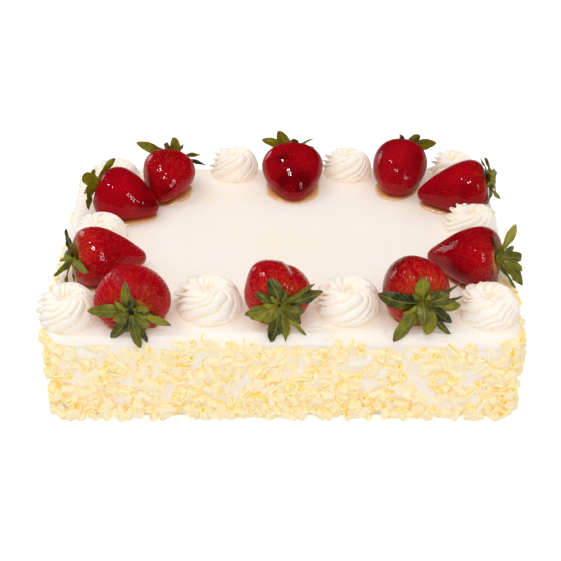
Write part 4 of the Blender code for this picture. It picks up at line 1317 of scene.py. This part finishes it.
# Glaze round one berry: the berry's outline near the cream, seen from above, and bell-shaped spills added to
# it, shaken by noise. Each sheet thins to its edge like a rounded step, and goes on down into the cream.
def poolPart(number, spills):
    columns = pool["columns"]
    phi = np.linspace(0.05, math.pi - 0.05, 60)[:, None]
    cloud = berrySurface(fruits[number], phi, roundAngles(90)[None]).reshape(-1, 3)
    low = cloud[cloud[:, 2] < cake["height"] + pool["touch"]]
    middle = low[:, :2].mean(0)
    gap = low[:, :2] - middle
    heading = np.arctan2(gap[:, 1], gap[:, 0])
    turn = roundAngles(columns)
    near = np.cos(heading[None] - turn[:, None]) > math.cos(math.radians(7))
    foot = np.where(near, np.hypot(gap[:, 0], gap[:, 1])[None], 0).max(1)
    foot = (np.roll(foot, 1) + foot + np.roll(foot, -1)) / 3
    spill = np.full_like(turn, pool["edge"])
    for direction, spread, width in spills:
        away = (np.degrees(turn) - direction + 180) % 360 - 180
        spill = spill + spread * np.exp(-(away / width) ** 2)
    shake, cell = pool["shake"]
    spill = spill * (1 + shake * softNoise(turned(1, turn, number), cell, 80))
    way = np.linspace(1, 0, pool["rows"])[:, None] ** 0.7
    swell = pool["height"] * np.sqrt(1 - way ** 6) * ramp(spill, *pool["thick"])
    level = cake["height"] + 0.05 + swell + 0.1 * (1 - way)
    points = turned(foot * 0.6 + (foot * 0.4 + spill) * way, turn, level) + (*middle, 0)
    points = np.concatenate([points[:1], points])
    sunk = cake["height"] - pool["sunk"]
    points[0, :, 2] = sunk
    flat, faces = closedGrid(points, (*middle, sunk), (*middle, cake["height"] + 0.2))
    thin = np.append(np.repeat(np.append(1.0, way), columns), (0, 0))
    return {"points": flat, "faces": faces, "fields": {"depth": (1 - thin) * pool["tint"]}}


# All the glaze as one piece
def makePools():
    points, faces, fields = gather([poolPart(number, spills) for number, spills in pools.items()])
    return place(putMesh("glaze", points, faces, amberGlaze, fields), "glaze")


makePools()
print("glaze run")


# Floor, lights and camera

studio = {
    "floor": 0.8, "glow": 0.5,  # how pale the floor is, and what the camera sees on top
    "fill": 0.575,  # light from all round
    "lamps": (  # name, place, size, power, and what it lights: shapes or gloss
        ("key", (-0.85, 0.20, 1.50), (0.7, 0.7), 4.0, "shapes"),
        ("overhead", (0.0, -0.9, 2.1), (1.4, 1.4), 11.6, "shapes"),
        ("front", (-0.1, -2.0, 0.75), (1.8, 1.0), 4.3, "shapes"),
        ("tallBox", (0.93, -0.78, 0.74), (0.14, 0.6), 5.5, "gloss"),
        ("sheen", (-0.98, 0.98, 0.34), (0.4, 0.5), 2.8, "gloss"),
        ("sparkFront", (-0.20, -0.56, 1.33), (0.12, 0.12), 7.0, "gloss"),
        ("sparkSide", (-0.70, 0.0, 1.27), (0.11, 0.11), 6.0, "gloss"),
    ),
}


# The floor's own light is seen by the camera alone, so that it doesn't shine up at the cake
def floorPaint(wire):
    seen = wire.make("ShaderNodeLightPath", output="Is Camera Ray")
    return {"Emission Color": seen.blend(shade(0, 0, 0), shade(255, 255, 255))}


# The floor: one wide square at the height of the cake's base
def makeFloor():
    mesh = bpy.data.meshes.new("floor")
    mesh.from_pydata([(-6, -6, 0), (6, -6, 0), (6, 6, 0), (-6, 6, 0)], [], [(0, 1, 2, 3)])
    fixed = {"Base Color": (*[studio["floor"]] * 3, 1), "Roughness": 0.9, "Specular IOR Level": 0.0,
             "Emission Strength": studio["glow"]}
    mesh.materials.append(finish("paleFloor", fixed, floorPaint))
    added("floor", mesh)


# Even fill light; none of it is mirrored, so that the glaze shows the lamps alone
def makeWorld():
    world = bpy.data.worlds.new("studio")
    world.use_nodes = True
    bpy.context.scene.world = world
    tree = world.node_tree
    strength = (1 - Wire(tree).make("ShaderNodeLightPath", output="Is Glossy Ray")) * studio["fill"]
    tree.links.new(strength.socket, tree.nodes["Background"].inputs["Strength"])
    tree.nodes["Background"].inputs["Color"].default_value = (1, 1, 1, 1)


# Lamps: squares of light turned to the middle of the top, seen by matt surfaces or by glossy ones alone
def makeLamps():
    aim = Vector((0, 0, 0.08))
    for name, spot, size, power, lights in studio["lamps"]:
        data = bpy.data.lights.new(name, "AREA")
        data.shape = "RECTANGLE"
        data.size, data.size_y = size
        data.energy = power
        lamp = added(name, data)
        lamp.location = spot
        lamp.rotation_euler = (aim - lamp.location).to_track_quat("-Z", "Y").to_euler()
        lamp.visible_glossy = lights == "gloss"
        lamp.visible_diffuse = lights == "shapes"


camera = {"distance": 0.9522, "pitch": 35.68, "aim": (-0.00207, 0.0, 0.040), "lens": 79.64}


# The camera: back from its aim by the cosine of the pitch and up by the sine, and tipped down by the pitch
def makeCamera():
    data = bpy.data.cameras.new("camera")
    data.lens = camera["lens"]
    data.sensor_width = 36.0
    data.clip_start, data.clip_end = 0.05, 30
    eye = added("camera", data)
    pitch = math.radians(camera["pitch"])
    x, y, z = camera["aim"]
    eye.location = (x, y - camera["distance"] * math.cos(pitch), z + camera["distance"] * math.sin(pitch))
    eye.rotation_euler = (math.pi / 2 - pitch, 0, 0)
    bpy.context.scene.camera = eye


makeFloor()
makeWorld()
makeLamps()
makeCamera()
bpy.context.scene.view_settings.view_transform = "Standard"
print("studio set")
